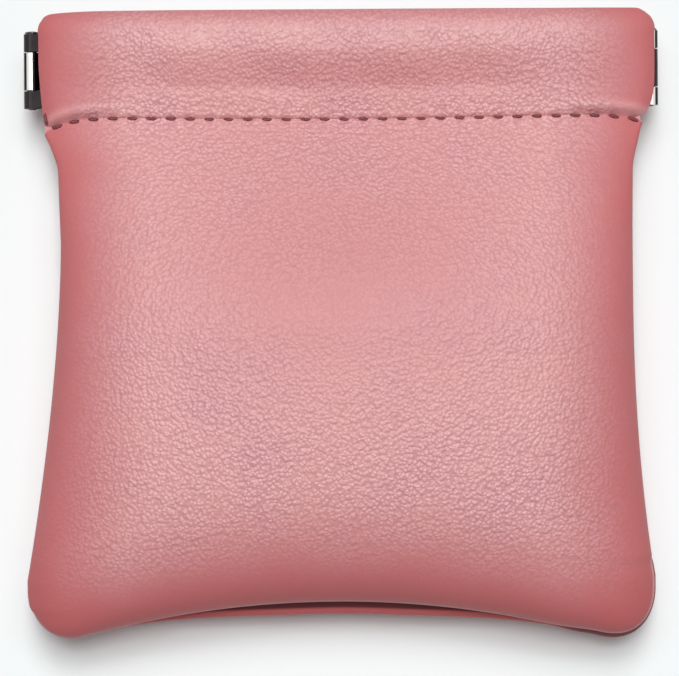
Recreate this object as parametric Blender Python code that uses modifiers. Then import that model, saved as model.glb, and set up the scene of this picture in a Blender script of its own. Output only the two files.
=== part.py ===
"""A squeeze-top leather jewelry pouch, shut and stuffed, lying on its back panel.

Two leather panels are sewn together along the sides and the bottom and turned right side out, so that
each has a rolled rim along the seam and a seam allowance inside. At the mouth each panel folds over
into a hem, stitched down below a flat spring steel strip. The two strips are joined at both ends by
stamped hinge ends, whose rolled knuckles turn on a pin. Squeezing the ends bows the strips apart.

World frame: X along the mouth, Y from the bottom seam to the mouth, Z up from the table. Metres.
"""

import math

import bmesh
import bpy
import numpy as np
from mathutils import Matrix, Vector

# Overall sizes
FRAME_LENGTH = 0.0850  # over the knuckles of the two hinges
POUCH_HEIGHT = 0.0840  # from the hem's top edge to the bottom corners
SEAM_HEIGHT = 0.0095  # from the table to the plane where the two panels meet
CROWN_RISE = 0.0145  # how far the front panel stands over that plane

# Leather
LEATHER = 0.0008
MOUTH_GAP = 0.0003  # between the two panels, at the mouth and along the seam
LAYER_GAP = 0.0003  # between the two layers of a hem at its stitch line
ROLL_GAP = 0.0001  # inside the rolled rim, between the panel and its seam allowance
RIM_LIP = 0.00075  # how far the rolled rim stands out from the panel's wall
RIM_DIP = 0.0003  # how far the wall rises over the rim before it turns up
VALLEY_OUT = 0.35  # share of the lip where the wall has come down onto the rim
VALLEY_DIP = 0.15  # share of the dip that is left there
SEAM_ALLOWANCE = 0.0030
BACK_LIP = 0.0015  # how far the back panel's rim shows below the front's, mid bottom
LIP_REACH = 0.80  # share of the half width over which it shows

# Hem
HEM_DEPTH = 0.0145  # from the top edge to the stitch line
HEM_RIDGE = 0.0054  # from the top edge to the hem's highest line
HEM_RISE = 0.0044  # the hem's highest line over the mouth plane
HEM_FLAP = 0.0025  # the folded layer that runs on past the stitch line
FLAP_TAPER = 0.0020  # over the stitch line, where that layer narrows to clear the side seams
HEM_FULLNESS = 0.55  # power of the hem's rise from the stitch line, at its middle
HEM_END_FULLNESS = 0.25  # what that power loses over the hinge ends
HEM_BARREL = 0.35  # power of the hem ends' outline, between the stitch line and the top edge
SEAM_START = 0.0004  # from the stitch line down to the top of the side seams

# Outline of the left and the right side, as distances from the middle line
LEFT_HEM_X = 0.0405
LEFT_STITCH_X = 0.0399
LEFT_WAIST_X = 0.0376
LEFT_WAIST_Y = 0.0110
LEFT_CORNER_X = 0.0421
LEFT_SWING = 1.65  # power with which the edge swings out below the waist
RIGHT_HEM_X = 0.0419
RIGHT_STITCH_X = 0.0402
RIGHT_WAIST_X = 0.0388
RIGHT_WAIST_Y = 0.0070
RIGHT_CORNER_X = 0.0417
RIGHT_SWING = 2.20
SHOULDER_SWING = 2.2  # power with which it swings out above the waist
TOP_DROOP = 0.0009  # how far the top edge falls off at the hem's ends
STITCH_DROOP = 0.0009  # how far the stitch line falls off there
DROOP_POWER = 11  # how late towards the ends they fall off
ARCH_RISE = 0.0047  # the bottom seam's middle over the bottom corners
CORNER_WIDTH = 0.0065
CORNER_HEIGHT = 0.0078

# Stuffed body
CROWN_PLACE = 0.45  # where the front is highest, from the stitch line (0) to the bottom (1)
SIDE_ROUNDNESS = 2.7
END_ROUNDNESS = 2.4
BACK_FULLNESS = 1.45  # how far the back would bulge without the table, times the seam's height

# Steel frame
SHEET = 0.00035  # of the hinge ends
STRIP_THICKNESS = 0.00035
STRIP_CORNER = 0.0014
FITTING_WIDTH = 0.0100  # over the sleeve's walls, along Y
FRAME_DROP = 0.0080  # from the hem's top edge to the middle of the steel frame
PIN_RADIUS = 0.00065
RUNNING_CLEARANCE = 0.0001
LEATHER_CLEARANCE = 0.0002  # between steel and leather
KNUCKLE_GAP = 0.00015
MIDDLE_KNUCKLE = 0.0050
ROLL_ANGLE = 300.0  # degrees that the sheet is rolled round the pin
NECK_LENGTH = 0.0016  # from the pin's axis to the sleeve
SLEEVE_LENGTH = 0.0042
SLEEVE_LIP = 0.0032
STRIP_SETBACK = 0.0003  # from the sleeve's outer end to the strip's end
STAKE_PLACE = 0.0022  # from the sleeve's outer end to the stake's middle
STAKE_RADIUS = 0.0007
PIN_HEAD_RADIUS = 0.00095
PIN_HEAD_EDGE = 0.0001  # height of the head's upright edge under its dome
PIN_HEAD_DOME = 0.0002
PIN_CHAMFER = 0.0002
PIN_TAIL = 0.00015
HEAD_GAP = 0.0001

# Fineness of the meshes
HALF_COLUMNS = 12
FOLD_ROWS = 4
CROWN_ROWS = 3
HEM_ROWS = 6
HEM_SPREAD = 1.6  # power that draws the hem's rows together at the stitch line
BODY_ROWS = 17
BODY_SPREAD = 1.15
EDGE_SAMPLES = 801
RIM_POINTS = 4
DOME_POINTS = 3
KNUCKLE_STEP = 20.0  # degrees
ROUND_SEGMENTS = 24
SHARP_ANGLE = 30.0  # degrees, from which an edge of the steel is drawn sharp

# Worked out from the sizes above
TOP_Y = POUCH_HEIGHT / 2
STITCH_Y = TOP_Y - HEM_DEPTH
RIDGE_Y = TOP_Y - HEM_RIDGE
FRAME_Y = TOP_Y - FRAME_DROP
ROLL_RADIUS = LEATHER / 2 + ROLL_GAP / 2
RIM_MID = MOUTH_GAP / 2 + LEATHER / 2
ROLL_TOP = RIM_MID + 2 * ROLL_RADIUS
WALL_FOOT = ROLL_TOP + RIM_DIP
STITCH_MID = MOUTH_GAP / 2 + LEATHER + LAYER_GAP + LEATHER / 2
WALL_INSET = LEATHER / 2 + RIM_LIP
KNUCKLE_MID = PIN_RADIUS + RUNNING_CLEARANCE + SHEET / 2
KNUCKLE_RADIUS = KNUCKLE_MID + SHEET / 2
HINGE_X = FRAME_LENGTH / 2 - KNUCKLE_RADIUS
INNER_HEM_X = HINGE_X - NECK_LENGTH - LEATHER_CLEARANCE
BASE_MID = MOUTH_GAP / 2 + LEATHER + LEATHER_CLEARANCE + SHEET / 2
STRIP_MID = BASE_MID + SHEET / 2 + RUNNING_CLEARANCE + STRIP_THICKNESS / 2
LIP_MID = STRIP_MID + STRIP_THICKNESS / 2 + RUNNING_CLEARANCE + SHEET / 2
SLEEVE_WALL_Y = FITTING_WIDTH / 2 - SHEET / 2
STRIP_HALF_WIDTH = SLEEVE_WALL_Y - SHEET / 2 - RUNNING_CLEARANCE
STRIP_HALF_LENGTH = HINGE_X - NECK_LENGTH - STRIP_SETBACK
STAKE_X = HINGE_X - NECK_LENGTH - STAKE_PLACE

LEFT, RIGHT = -1, 1
FRONT, BACK = 1, -1
HEM_X = {LEFT: LEFT_HEM_X, RIGHT: RIGHT_HEM_X}
STITCH_X = {LEFT: LEFT_STITCH_X, RIGHT: RIGHT_STITCH_X}
WAIST_X = {LEFT: LEFT_WAIST_X, RIGHT: RIGHT_WAIST_X}
WAIST_Y = {LEFT: LEFT_WAIST_Y, RIGHT: RIGHT_WAIST_Y}
CORNER_X = {LEFT: LEFT_CORNER_X, RIGHT: RIGHT_CORNER_X}
SWING = {LEFT: LEFT_SWING, RIGHT: RIGHT_SWING}


def clear_scene():
    """Take every object out of the scene."""
    for obj in list(bpy.data.objects):
        bpy.data.objects.remove(obj, do_unlink=True)


def make_collection(name):
    """A new collection under the scene's own."""
    collection = bpy.data.collections.new(name)
    bpy.context.scene.collection.children.link(collection)
    return collection


def make_material(name, colour, roughness, metallic=0.0):
    """A Principled material of one colour, for viewing the solids."""
    material = bpy.data.materials.new(name)
    material.use_nodes = True
    shader = material.node_tree.nodes["Principled BSDF"]
    shader.inputs["Base Color"].default_value = (*colour, 1.0)
    shader.inputs["Roughness"].default_value = roughness
    shader.inputs["Metallic"].default_value = metallic
    material.diffuse_color = (*colour, 1.0)
    return material


def add_object(name, mesh, material, collection, origin=(0.0, 0.0, 0.0)):
    """An object for a mesh made in world coordinates, with its own origin set at a given point."""
    mesh.transform(Matrix.Translation(-Vector(origin)))
    obj = bpy.data.objects.new(name, mesh)
    obj.location = origin
    obj.data.materials.append(material)
    collection.objects.link(obj)
    return obj


def add_pivot(name, place, collection):
    """An empty that stands on a joint's axis and carries the pieces that turn there."""
    empty = bpy.data.objects.new(name, None)
    empty.empty_display_size = 0.005
    empty.location = place
    collection.objects.link(empty)
    return empty


def hang_on(child, parent):
    """Parent one object to another without moving it."""
    child.location = Vector(child.location) - Vector(parent.location)
    child.parent = parent


def add_solidify(obj, thickness, even=True):
    """Give an open surface its wall, half to each side."""
    wall = obj.modifiers.new("wall", "SOLIDIFY")
    wall.thickness = thickness
    wall.offset = 0.0
    wall.use_even_offset = even
    wall.use_quality_normals = True
    return wall


def by_side(table, u):
    """The left or the right value of a table, for each place across the panel."""
    return np.where(u < 0, table[LEFT], table[RIGHT])


def ease(t):
    """A smooth step from 0 to 1."""
    t = np.clip(t, 0.0, 1.0)
    return t * t * (3.0 - 2.0 * t)


def hem_half_width(y, u):
    """Half width of the hem: a barrel between the stitch line and the top edge, fullest halfway."""
    along = np.clip((y - STITCH_Y) / (TOP_Y - STITCH_Y), 0.0, 1.0)
    narrow = by_side(STITCH_X, u)
    return narrow + (by_side(HEM_X, u) - narrow) * np.sin(math.pi * along) ** HEM_BARREL


def body_half_width(y, u):
    """Half width below the stitch line: drawn in to the waist, then swinging out to the corners."""
    waist, waist_y = by_side(WAIST_X, u), by_side(WAIST_Y, u)
    above = np.clip((y - waist_y) / (STITCH_Y - waist_y), 0.0, 1.0)
    corner_y = CORNER_HEIGHT - POUCH_HEIGHT / 2
    below = np.clip((waist_y - y) / (waist_y - corner_y), 0.0, 1.0)
    over = (by_side(STITCH_X, u) - waist) * above**SHOULDER_SWING
    under = (by_side(CORNER_X, u) - waist) * below ** by_side(SWING, u)
    return waist + over + under


def bottom_curve(x, u):
    """The bottom seam before it is set to height: an arch that turns up round each corner."""
    edge = by_side(CORNER_X, u)
    start = edge - CORNER_WIDTH
    arch = -ARCH_RISE * (x / start) ** 2
    turn = np.clip((np.abs(x) - start) / CORNER_WIDTH, 0.0, 1.0)
    return arch + CORNER_HEIGHT * (1.0 - np.sqrt(1.0 - turn**2))


def bottom_edge(u, face):
    """Y of the bottom edge at each place across, lowest at the corners; the back shows a lip."""
    fine = np.linspace(-1.0, 1.0, EDGE_SAMPLES)
    lowest = bottom_curve(fine * by_side(CORNER_X, fine), fine).min()
    edge = bottom_curve(u * by_side(CORNER_X, u), u) - lowest - POUCH_HEIGHT / 2
    lip = BACK_LIP * ease(1.0 - np.abs(u) / LIP_REACH) if face == BACK else 0.0
    return edge - lip


def columns():
    """Places across a panel, from -1 to 1, closest together near the sides."""
    return np.sin(np.linspace(-math.pi / 2, math.pi / 2, 2 * HALF_COLUMNS + 1))


def flat_row(x, y, height):
    """One row of points over the mouth plane."""
    return np.stack([x, y, np.broadcast_to(height, x.shape)], axis=1)


def hem_rows(u):
    """Rows from the flap's edge, up inside the mouth, over the top fold and down to the stitch line."""
    top = TOP_Y - LEATHER / 2 - TOP_DROOP * np.abs(u) ** DROOP_POWER
    stitch = STITCH_Y - STITCH_DROOP * np.abs(u) ** DROOP_POWER
    crest = HEM_RISE - LEATHER / 2
    apex = (crest + RIM_MID) / 2
    inner_start = top - (apex - RIM_MID)
    rows = []
    for y in (stitch - HEM_FLAP, stitch - SEAM_START):
        narrow = body_half_width(y, u) - SEAM_ALLOWANCE - LAYER_GAP
        rows.append(flat_row(u * narrow, y, RIM_MID))
    rows.append(flat_row(u * INNER_HEM_X, stitch + FLAP_TAPER, RIM_MID))
    for angle in np.linspace(0.0, math.pi / 2, FOLD_ROWS + 1)[:-1]:
        y = inner_start + (top - inner_start) * math.sin(angle)
        height = apex - (apex - RIM_MID) * math.cos(angle)
        share = angle / (math.pi / 2)
        x = u * (INNER_HEM_X * (1.0 - share) + by_side(STITCH_X, u) * share)
        rows.append(flat_row(x, y, height))
    for angle in np.linspace(0.0, math.pi / 2, CROWN_ROWS + 1)[:-1]:
        y = RIDGE_Y + (top - RIDGE_Y) * math.cos(angle)
        height = apex + (crest - apex) * math.sin(angle)
        rows.append(flat_row(u * hem_half_width(y, u), y, height))
    fullness = HEM_FULLNESS - HEM_END_FULLNESS * np.abs(u) ** 3
    for share in np.linspace(1.0, 0.0, HEM_ROWS + 1)[:-1] ** HEM_SPREAD:
        y = stitch + (RIDGE_Y - stitch) * share
        height = STITCH_MID + (crest - STITCH_MID) * share**fullness
        rows.append(flat_row(u * hem_half_width(y, u), y, height))
    return rows


def body_steps(stitch, foot):
    """Shares of the way from the stitch line, past the top of the side seams, to the bottom wall."""
    start = SEAM_START / float(stitch[0] - foot[0])
    rest = np.sin(np.linspace(0.0, math.pi / 2, BODY_ROWS + 1)) ** BODY_SPREAD
    return np.concatenate([[0.0], start + (1.0 - start) * rest])


def rise_along(t, crown):
    """The panel's height down its middle: a sine up to the crown, then a round end at the bottom."""
    up = STITCH_MID + (crown - STITCH_MID) * np.sin(math.pi / 2 * np.clip(t / CROWN_PLACE, 0.0, 1.0))
    s = np.clip((t - CROWN_PLACE) / (1.0 - CROWN_PLACE), 0.0, 1.0)
    down = WALL_FOOT + (crown - WALL_FOOT) * (1.0 - s**END_ROUNDNESS) ** (1.0 / END_ROUNDNESS)
    return np.where(t < CROWN_PLACE, up, down)


def body_rows(u, face):
    """Rows from the stitch line down to the foot of the wall; side seams start at the second row."""
    stitch = STITCH_Y - STITCH_DROOP * np.abs(u) ** DROOP_POWER
    foot = bottom_edge(u, face) + WALL_INSET
    around = (1.0 - np.abs(u) ** SIDE_ROUNDNESS) ** (1.0 / SIDE_ROUNDNESS)
    deepest = SEAM_HEIGHT - LEATHER / 2
    crown = CROWN_RISE - LEATHER / 2 if face == FRONT else deepest * BACK_FULLNESS
    rows = []
    for t in body_steps(stitch, foot):
        y = stitch + (foot - stitch) * t
        x = u * (body_half_width(y, u) - (WALL_INSET if t > 0.0 else 0.0))
        edge = WALL_FOOT if t > 0.0 else STITCH_MID
        height = edge + (rise_along(t, crown) - edge) * around
        if face == BACK:
            height = np.minimum(height, deepest)
        rows.append(flat_row(x, y, height))
    return rows


def rim_section():
    """The turned seam in section: distance out from the wall's foot, and height, ending inside."""
    section = [(RIM_LIP * VALLEY_OUT, ROLL_TOP + RIM_DIP * VALLEY_DIP)]
    for angle in np.linspace(math.pi / 2, -math.pi / 2, RIM_POINTS + 1):
        out = RIM_LIP - ROLL_RADIUS + ROLL_RADIUS * math.cos(angle)
        section.append((out, RIM_MID + ROLL_RADIUS + ROLL_RADIUS * math.sin(angle)))
    inside = RIM_LIP + LEATHER / 2 - SEAM_ALLOWANCE
    section.append(((RIM_LIP - ROLL_RADIUS + inside) / 2, RIM_MID))
    section.append((inside, RIM_MID))
    return section


def outward(loop):
    """Unit directions out of an open loop that runs down the left side and up the right one."""
    along = np.gradient(loop, axis=0)
    along /= np.linalg.norm(along, axis=1)[:, None]
    return np.stack([along[:, 1], -along[:, 0]], axis=1)


def leather_panel(name, face, material, collection, origin):
    """A panel with its hem, stuffed body, rolled rim and seam allowance, as one folded sheet."""
    u = columns()
    hem = hem_rows(u)
    grid = np.stack(hem + body_rows(u, face))
    rows, across = grid.shape[:2]
    points = [grid.reshape(-1, 3)]
    faces = []
    for r in range(rows - 1):
        for c in range(across - 1):
            first = r * across + c
            faces.append((first, first + 1, first + across + 1, first + across))

    side_rows = range(len(hem) + 1, rows)
    left = [r * across for r in side_rows]
    bottom = [(rows - 1) * across + c for c in range(1, across - 1)]
    right = [r * across + across - 1 for r in reversed(side_rows)]
    rim = left + bottom + right
    loop = points[0][rim]
    normal = outward(loop[:, :2])
    count = len(rim)
    before = rim
    total = rows * across
    for out, height in rim_section():
        ring = np.empty_like(loop)
        ring[:, :2] = loop[:, :2] + normal * out
        ring[:, 2] = height
        points.append(ring)
        after = list(range(total, total + count))
        for k in range(count - 1):
            faces.append((before[k], before[k + 1], after[k + 1], after[k]))
        before = after
        total += count

    place = np.concatenate(points)
    place[:, 2] = SEAM_HEIGHT + face * place[:, 2]
    mesh = bpy.data.meshes.new(name)
    mesh.from_pydata(place.tolist(), [], faces)
    mesh.update()
    obj = add_object(name, mesh, material, collection, origin)
    add_solidify(obj, LEATHER, even=False)
    mesh.shade_smooth()
    return obj


def rounded_outline(half_length, half_width, radius, steps=4):
    """Points round a rectangle with rounded corners, anticlockwise."""
    outline = []
    for quarter, (sx, sy) in enumerate([(1, 1), (-1, 1), (-1, -1), (1, -1)]):
        for k in range(steps + 1):
            angle = math.pi / 2 * (quarter + k / steps)
            x = sx * (half_length - radius) + radius * math.cos(angle)
            y = sy * (half_width - radius) + radius * math.sin(angle)
            outline.append((x, y))
    return outline


def add_spline(curve, outline):
    """A closed straight-sided spline through an outline's points."""
    spline = curve.splines.new("POLY")
    spline.points.add(len(outline) - 1)
    for point, (x, y) in zip(spline.points, outline):
        point.co = (x, y, 0.0, 1.0)
    spline.use_cyclic_u = True


def spring_strip(name, face, material, collection):
    """The flat spring steel strip, with a hole near each end for its hinge end's stake."""
    curve = bpy.data.curves.new(name, "CURVE")
    curve.dimensions = "2D"
    curve.fill_mode = "BOTH"
    curve.extrude = STRIP_THICKNESS / 2
    add_spline(curve, rounded_outline(STRIP_HALF_LENGTH, STRIP_HALF_WIDTH, STRIP_CORNER))
    hole = STAKE_RADIUS + RUNNING_CLEARANCE
    for side in (LEFT, RIGHT):
        turn = [2 * math.pi * k / ROUND_SEGMENTS for k in range(ROUND_SEGMENTS)]
        add_spline(curve, [(side * STAKE_X + hole * math.cos(a), hole * math.sin(a)) for a in turn])
    obj = bpy.data.objects.new(name, curve)
    obj.location = (0.0, FRAME_Y, SEAM_HEIGHT + face * STRIP_MID)
    obj.data.materials.append(material)
    collection.objects.link(obj)
    return obj


def knuckle_spans(paired):
    """The stretches along the pin that a hinge end's knuckles take: the two outer ones or the middle."""
    half, middle = FITTING_WIDTH / 2, MIDDLE_KNUCKLE / 2
    if paired:
        return [(-half, -middle - KNUCKLE_GAP), (middle + KNUCKLE_GAP, half)]
    return [(-middle, middle)]


def roll_profile():
    """The neck and the roll of a knuckle in section: distance in from the pin's axis, and height."""
    steps = int(round(ROLL_ANGLE / KNUCKLE_STEP))
    turn = [math.radians(90.0 + ROLL_ANGLE * k / steps) for k in range(steps + 1)]
    return [(KNUCKLE_MID * math.cos(a), KNUCKLE_MID * math.sin(a)) for a in turn]


def hinge_end(name, side, face, paired, material, collection, cutters):
    """A stamped hinge end: a sleeve crimped round the strip, and knuckles rolled round the pin."""
    centre = Vector((side * HINGE_X, FRAME_Y, SEAM_HEIGHT))

    def at(inward, along, height):
        return centre + Vector((-side * inward, along, face * height))

    spans = knuckle_spans(paired)
    wall = SLEEVE_WALL_Y
    cuts = sorted({-wall, wall} | {v for span in spans for v in span if abs(v) < wall})
    inner = NECK_LENGTH + SLEEVE_LENGTH
    sheet = bmesh.new()
    outer_row = {y: sheet.verts.new(at(NECK_LENGTH, y, BASE_MID)) for y in cuts}
    inner_row = {y: sheet.verts.new(at(inner, y, BASE_MID)) for y in cuts}
    for low, high in zip(cuts, cuts[1:]):
        sheet.faces.new((outer_row[low], outer_row[high], inner_row[high], inner_row[low]))
    for y in (-wall, wall):
        lip = y - math.copysign(SLEEVE_LIP, y)
        before = (outer_row[y], inner_row[y])
        for along in (y, lip):
            after = tuple(sheet.verts.new(at(s, along, LIP_MID)) for s in (NECK_LENGTH, inner))
            sheet.faces.new((before[0], before[1], after[1], after[0]))
            before = after
    for low, high in spans:
        before = tuple(outer_row[max(-wall, min(wall, y))] for y in (low, high))
        for inward, height in roll_profile():
            after = tuple(sheet.verts.new(at(inward, y, height)) for y in (low, high))
            sheet.faces.new((before[0], before[1], after[1], after[0]))
            before = after
    bmesh.ops.recalc_face_normals(sheet, faces=sheet.faces)
    mesh = bpy.data.meshes.new(name)
    sheet.to_mesh(mesh)
    sheet.free()
    obj = add_object(name, mesh, material, collection, centre)
    add_solidify(obj, SHEET)

    stake = cylinder_between(
        name + "_stake", STAKE_RADIUS, BASE_MID, STRIP_MID + STRIP_THICKNESS / 2, cutters
    )
    stake.location = centre + Vector((-side * (NECK_LENGTH + STAKE_PLACE), 0.0, 0.0))
    if face == BACK:
        stake.rotation_euler = (math.pi, 0.0, 0.0)
    fuse = obj.modifiers.new("stake", "BOOLEAN")
    fuse.operation = "UNION"
    fuse.solver = "EXACT"
    fuse.object = stake
    mesh.shade_smooth()
    mesh.set_sharp_from_angle(angle=math.radians(SHARP_ANGLE))
    return obj


def cylinder_between(name, radius, low, high, collection):
    """A closed upright cylinder about the Z axis, from one height to another."""
    shape = bmesh.new()
    bmesh.ops.create_cone(
        shape,
        cap_ends=True,
        segments=ROUND_SEGMENTS,
        radius1=radius,
        radius2=radius,
        depth=high - low,
        matrix=Matrix.Translation((0.0, 0.0, (low + high) / 2)),
    )
    mesh = bpy.data.meshes.new(name)
    shape.to_mesh(mesh)
    shape.free()
    obj = bpy.data.objects.new(name, mesh)
    obj.hide_render = True
    obj.display_type = "WIRE"
    collection.objects.link(obj)
    return obj


def hinge_pin(name, side, material, collection):
    """The turned pin: a domed head over the top knuckle, a plain shank and a short tail."""
    half = FITTING_WIDTH / 2
    foot = half + HEAD_GAP
    edge = foot + PIN_HEAD_EDGE
    tail = -half - PIN_TAIL
    profile = [(0.0, edge + PIN_HEAD_DOME)]
    for k in range(1, DOME_POINTS + 1):
        turn = math.pi / 2 * k / DOME_POINTS
        profile.append((PIN_HEAD_RADIUS * math.sin(turn), edge + PIN_HEAD_DOME * math.cos(turn)))
    profile += [
        (PIN_HEAD_RADIUS, foot),
        (PIN_RADIUS, foot),
        (PIN_RADIUS, tail + PIN_CHAMFER),
        (PIN_RADIUS - PIN_CHAMFER, tail),
        (0.0, tail),
    ]
    mesh = bpy.data.meshes.new(name)
    points = [(radius, 0.0, height) for radius, height in profile]
    mesh.from_pydata(points, [(k, k + 1) for k in range(len(points) - 1)], [])
    obj = bpy.data.objects.new(name, mesh)
    obj.data.materials.append(material)
    obj.location = (side * HINGE_X, FRAME_Y, SEAM_HEIGHT)
    obj.rotation_euler = (-math.pi / 2, 0.0, 0.0)
    collection.objects.link(obj)
    turn = obj.modifiers.new("turn", "SCREW")
    turn.axis = "Z"
    turn.steps = ROUND_SEGMENTS
    turn.render_steps = ROUND_SEGMENTS
    turn.use_merge_vertices = True
    turn.merge_threshold = 0.00001
    turn.use_smooth_shade = True
    return obj


def main():
    """Build the pouch."""
    clear_scene()
    pouch = make_collection("leather_jewelry_pouch")
    cutters = make_collection("cutters")
    leather = make_material("rose_leather", (0.62, 0.27, 0.28), 0.45)
    gunmetal = make_material("gunmetal_plated_steel", (0.10, 0.10, 0.11), 0.25, metallic=1.0)
    spring = make_material("spring_steel", (0.35, 0.36, 0.38), 0.35, metallic=1.0)
    pin_steel = make_material("pin_steel", (0.14, 0.14, 0.15), 0.22, metallic=1.0)

    bottom_axis = (0.0, -POUCH_HEIGHT / 2, SEAM_HEIGHT)
    ends_pivot = add_pivot("ends_pivot", bottom_axis, pouch)
    front_pivot = add_pivot("front_pivot", bottom_axis, pouch)
    leather_panel("back_panel", BACK, leather, pouch, (0.0, 0.0, 0.0))
    spring_strip("back_strip", BACK, spring, pouch)
    front_panel = leather_panel("front_panel", FRONT, leather, pouch, bottom_axis)
    front_strip = spring_strip("front_strip", FRONT, spring, pouch)
    hang_on(front_panel, front_pivot)
    hang_on(front_strip, front_pivot)
    for side, side_name in ((LEFT, "left"), (RIGHT, "right")):
        pin = hinge_pin(f"{side_name}_hinge_pin", side, pin_steel, pouch)
        hang_on(pin, ends_pivot)
        for face, face_name in ((FRONT, "front"), (BACK, "back")):
            name = f"{face_name}_{side_name}_hinge_end"
            paired = (side == LEFT) == (face == FRONT)
            end = hinge_end(name, side, face, paired, gunmetal, pouch, cutters)
            hang_on(end, ends_pivot)


main()
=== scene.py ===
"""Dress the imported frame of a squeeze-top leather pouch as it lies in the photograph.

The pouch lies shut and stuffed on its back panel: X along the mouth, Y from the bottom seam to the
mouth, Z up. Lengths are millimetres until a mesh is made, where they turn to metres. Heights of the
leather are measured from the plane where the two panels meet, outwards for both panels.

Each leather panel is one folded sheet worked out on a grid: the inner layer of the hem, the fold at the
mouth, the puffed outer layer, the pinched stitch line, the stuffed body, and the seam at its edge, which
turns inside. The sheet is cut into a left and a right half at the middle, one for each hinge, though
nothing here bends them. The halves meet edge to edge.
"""

from __future__ import annotations

import logging
import math
from dataclasses import dataclass
from enum import Enum
from typing import Any

import bmesh
import bpy
import numpy as np
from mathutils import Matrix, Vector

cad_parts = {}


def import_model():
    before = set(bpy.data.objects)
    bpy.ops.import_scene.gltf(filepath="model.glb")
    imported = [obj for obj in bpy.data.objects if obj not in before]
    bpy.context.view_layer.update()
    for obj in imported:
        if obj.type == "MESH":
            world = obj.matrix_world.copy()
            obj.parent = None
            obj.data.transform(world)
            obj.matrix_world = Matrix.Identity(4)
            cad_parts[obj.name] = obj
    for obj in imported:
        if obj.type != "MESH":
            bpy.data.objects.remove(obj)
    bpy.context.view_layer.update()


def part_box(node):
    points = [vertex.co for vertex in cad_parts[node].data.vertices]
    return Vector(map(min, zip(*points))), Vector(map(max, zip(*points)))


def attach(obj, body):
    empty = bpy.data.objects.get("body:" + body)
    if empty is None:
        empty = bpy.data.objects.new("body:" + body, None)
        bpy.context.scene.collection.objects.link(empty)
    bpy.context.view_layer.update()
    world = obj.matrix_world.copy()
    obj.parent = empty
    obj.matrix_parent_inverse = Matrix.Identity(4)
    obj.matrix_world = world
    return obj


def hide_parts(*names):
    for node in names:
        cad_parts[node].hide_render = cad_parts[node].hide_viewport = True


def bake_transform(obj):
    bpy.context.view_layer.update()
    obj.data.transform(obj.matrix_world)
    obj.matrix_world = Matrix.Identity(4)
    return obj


LOG = logging.getLogger("pouch")
MM = 0.001
PLACE = "rest_mm"
TONE = "tone"
GRAIN = "grain"

# A wave texture of this scale has one band in a unit of length.
WAVE_SCALE = 0.32


class Side(Enum):
    """The left or the right of the pouch, as the photograph shows it."""

    LEFT = -1
    RIGHT = 1

    @property
    def word(self) -> str:
        """The side's name, as nodes carry it."""
        return self.name.lower()


class Face(Enum):
    """The panel that faces up, or the one that the pouch lies on."""

    FRONT = 1
    BACK = -1

    @property
    def word(self) -> str:
        """The face's name, as nodes carry it."""
        return self.name.lower()


def linear(colour: str) -> tuple[float, float, float, float]:
    """Turn a colour written as sRGB hex into linear values with an alpha of 1.

    Args:
        colour: six hex digits after a hash.

    Returns:
        Red, green, blue and alpha for a shader socket.
    """
    values = [int(colour[k : k + 2], 16) / 255.0 for k in (1, 3, 5)]
    parts = [v / 12.92 if v <= 0.04045 else ((v + 0.055) / 1.055) ** 2.4 for v in values]
    return (parts[0], parts[1], parts[2], 1.0)


def ease(t: np.ndarray | float) -> np.ndarray:
    """A smooth step: 0 below 0, 1 above 1, and three squares less two cubes between."""
    t = np.clip(t, 0.0, 1.0)
    return t * t * (3.0 - 2.0 * t)


def bell(t: np.ndarray) -> np.ndarray:
    """A bell curve of height 1 at 0: e to the power of minus t squared."""
    return np.exp(-np.square(t))


def add_node(
    tree: bpy.types.NodeTree,
    kind: str,
    settings: dict[str, Any] | None = None,
    inputs: dict[str | int, Any] | None = None,
) -> bpy.types.Node:
    """Add a node, set it up and link it.

    Args:
        tree: the node tree that it goes into.
        kind: the node's type name.
        settings: values for the node's own properties.
        inputs: a value, or another node's output socket, for each input by name or number.

    Returns:
        The new node.
    """
    node = tree.nodes.new(kind)
    for name, value in (settings or {}).items():
        setattr(node, name, value)
    for name, value in (inputs or {}).items():
        if isinstance(value, bpy.types.NodeSocket):
            tree.links.new(value, node.inputs[name])
        else:
            node.inputs[name].default_value = value
    return node


def new_material(name: str) -> tuple[bpy.types.Material, bpy.types.NodeTree, bpy.types.Node]:
    """Make a node material.

    Args:
        name: the material's name.

    Returns:
        The material, its tree and its Principled shader.
    """
    material = bpy.data.materials.new(name)
    material.use_nodes = True
    return material, material.node_tree, material.node_tree.nodes["Principled BSDF"]


def rest_place(tree: bpy.types.NodeTree) -> bpy.types.NodeSocket:
    """The place of each point at rest, in millimetres, which stays on the leather as it bends."""
    attribute = {"attribute_type": "GEOMETRY", "attribute_name": PLACE}
    return add_node(tree, "ShaderNodeAttribute", attribute).outputs["Vector"]


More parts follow.
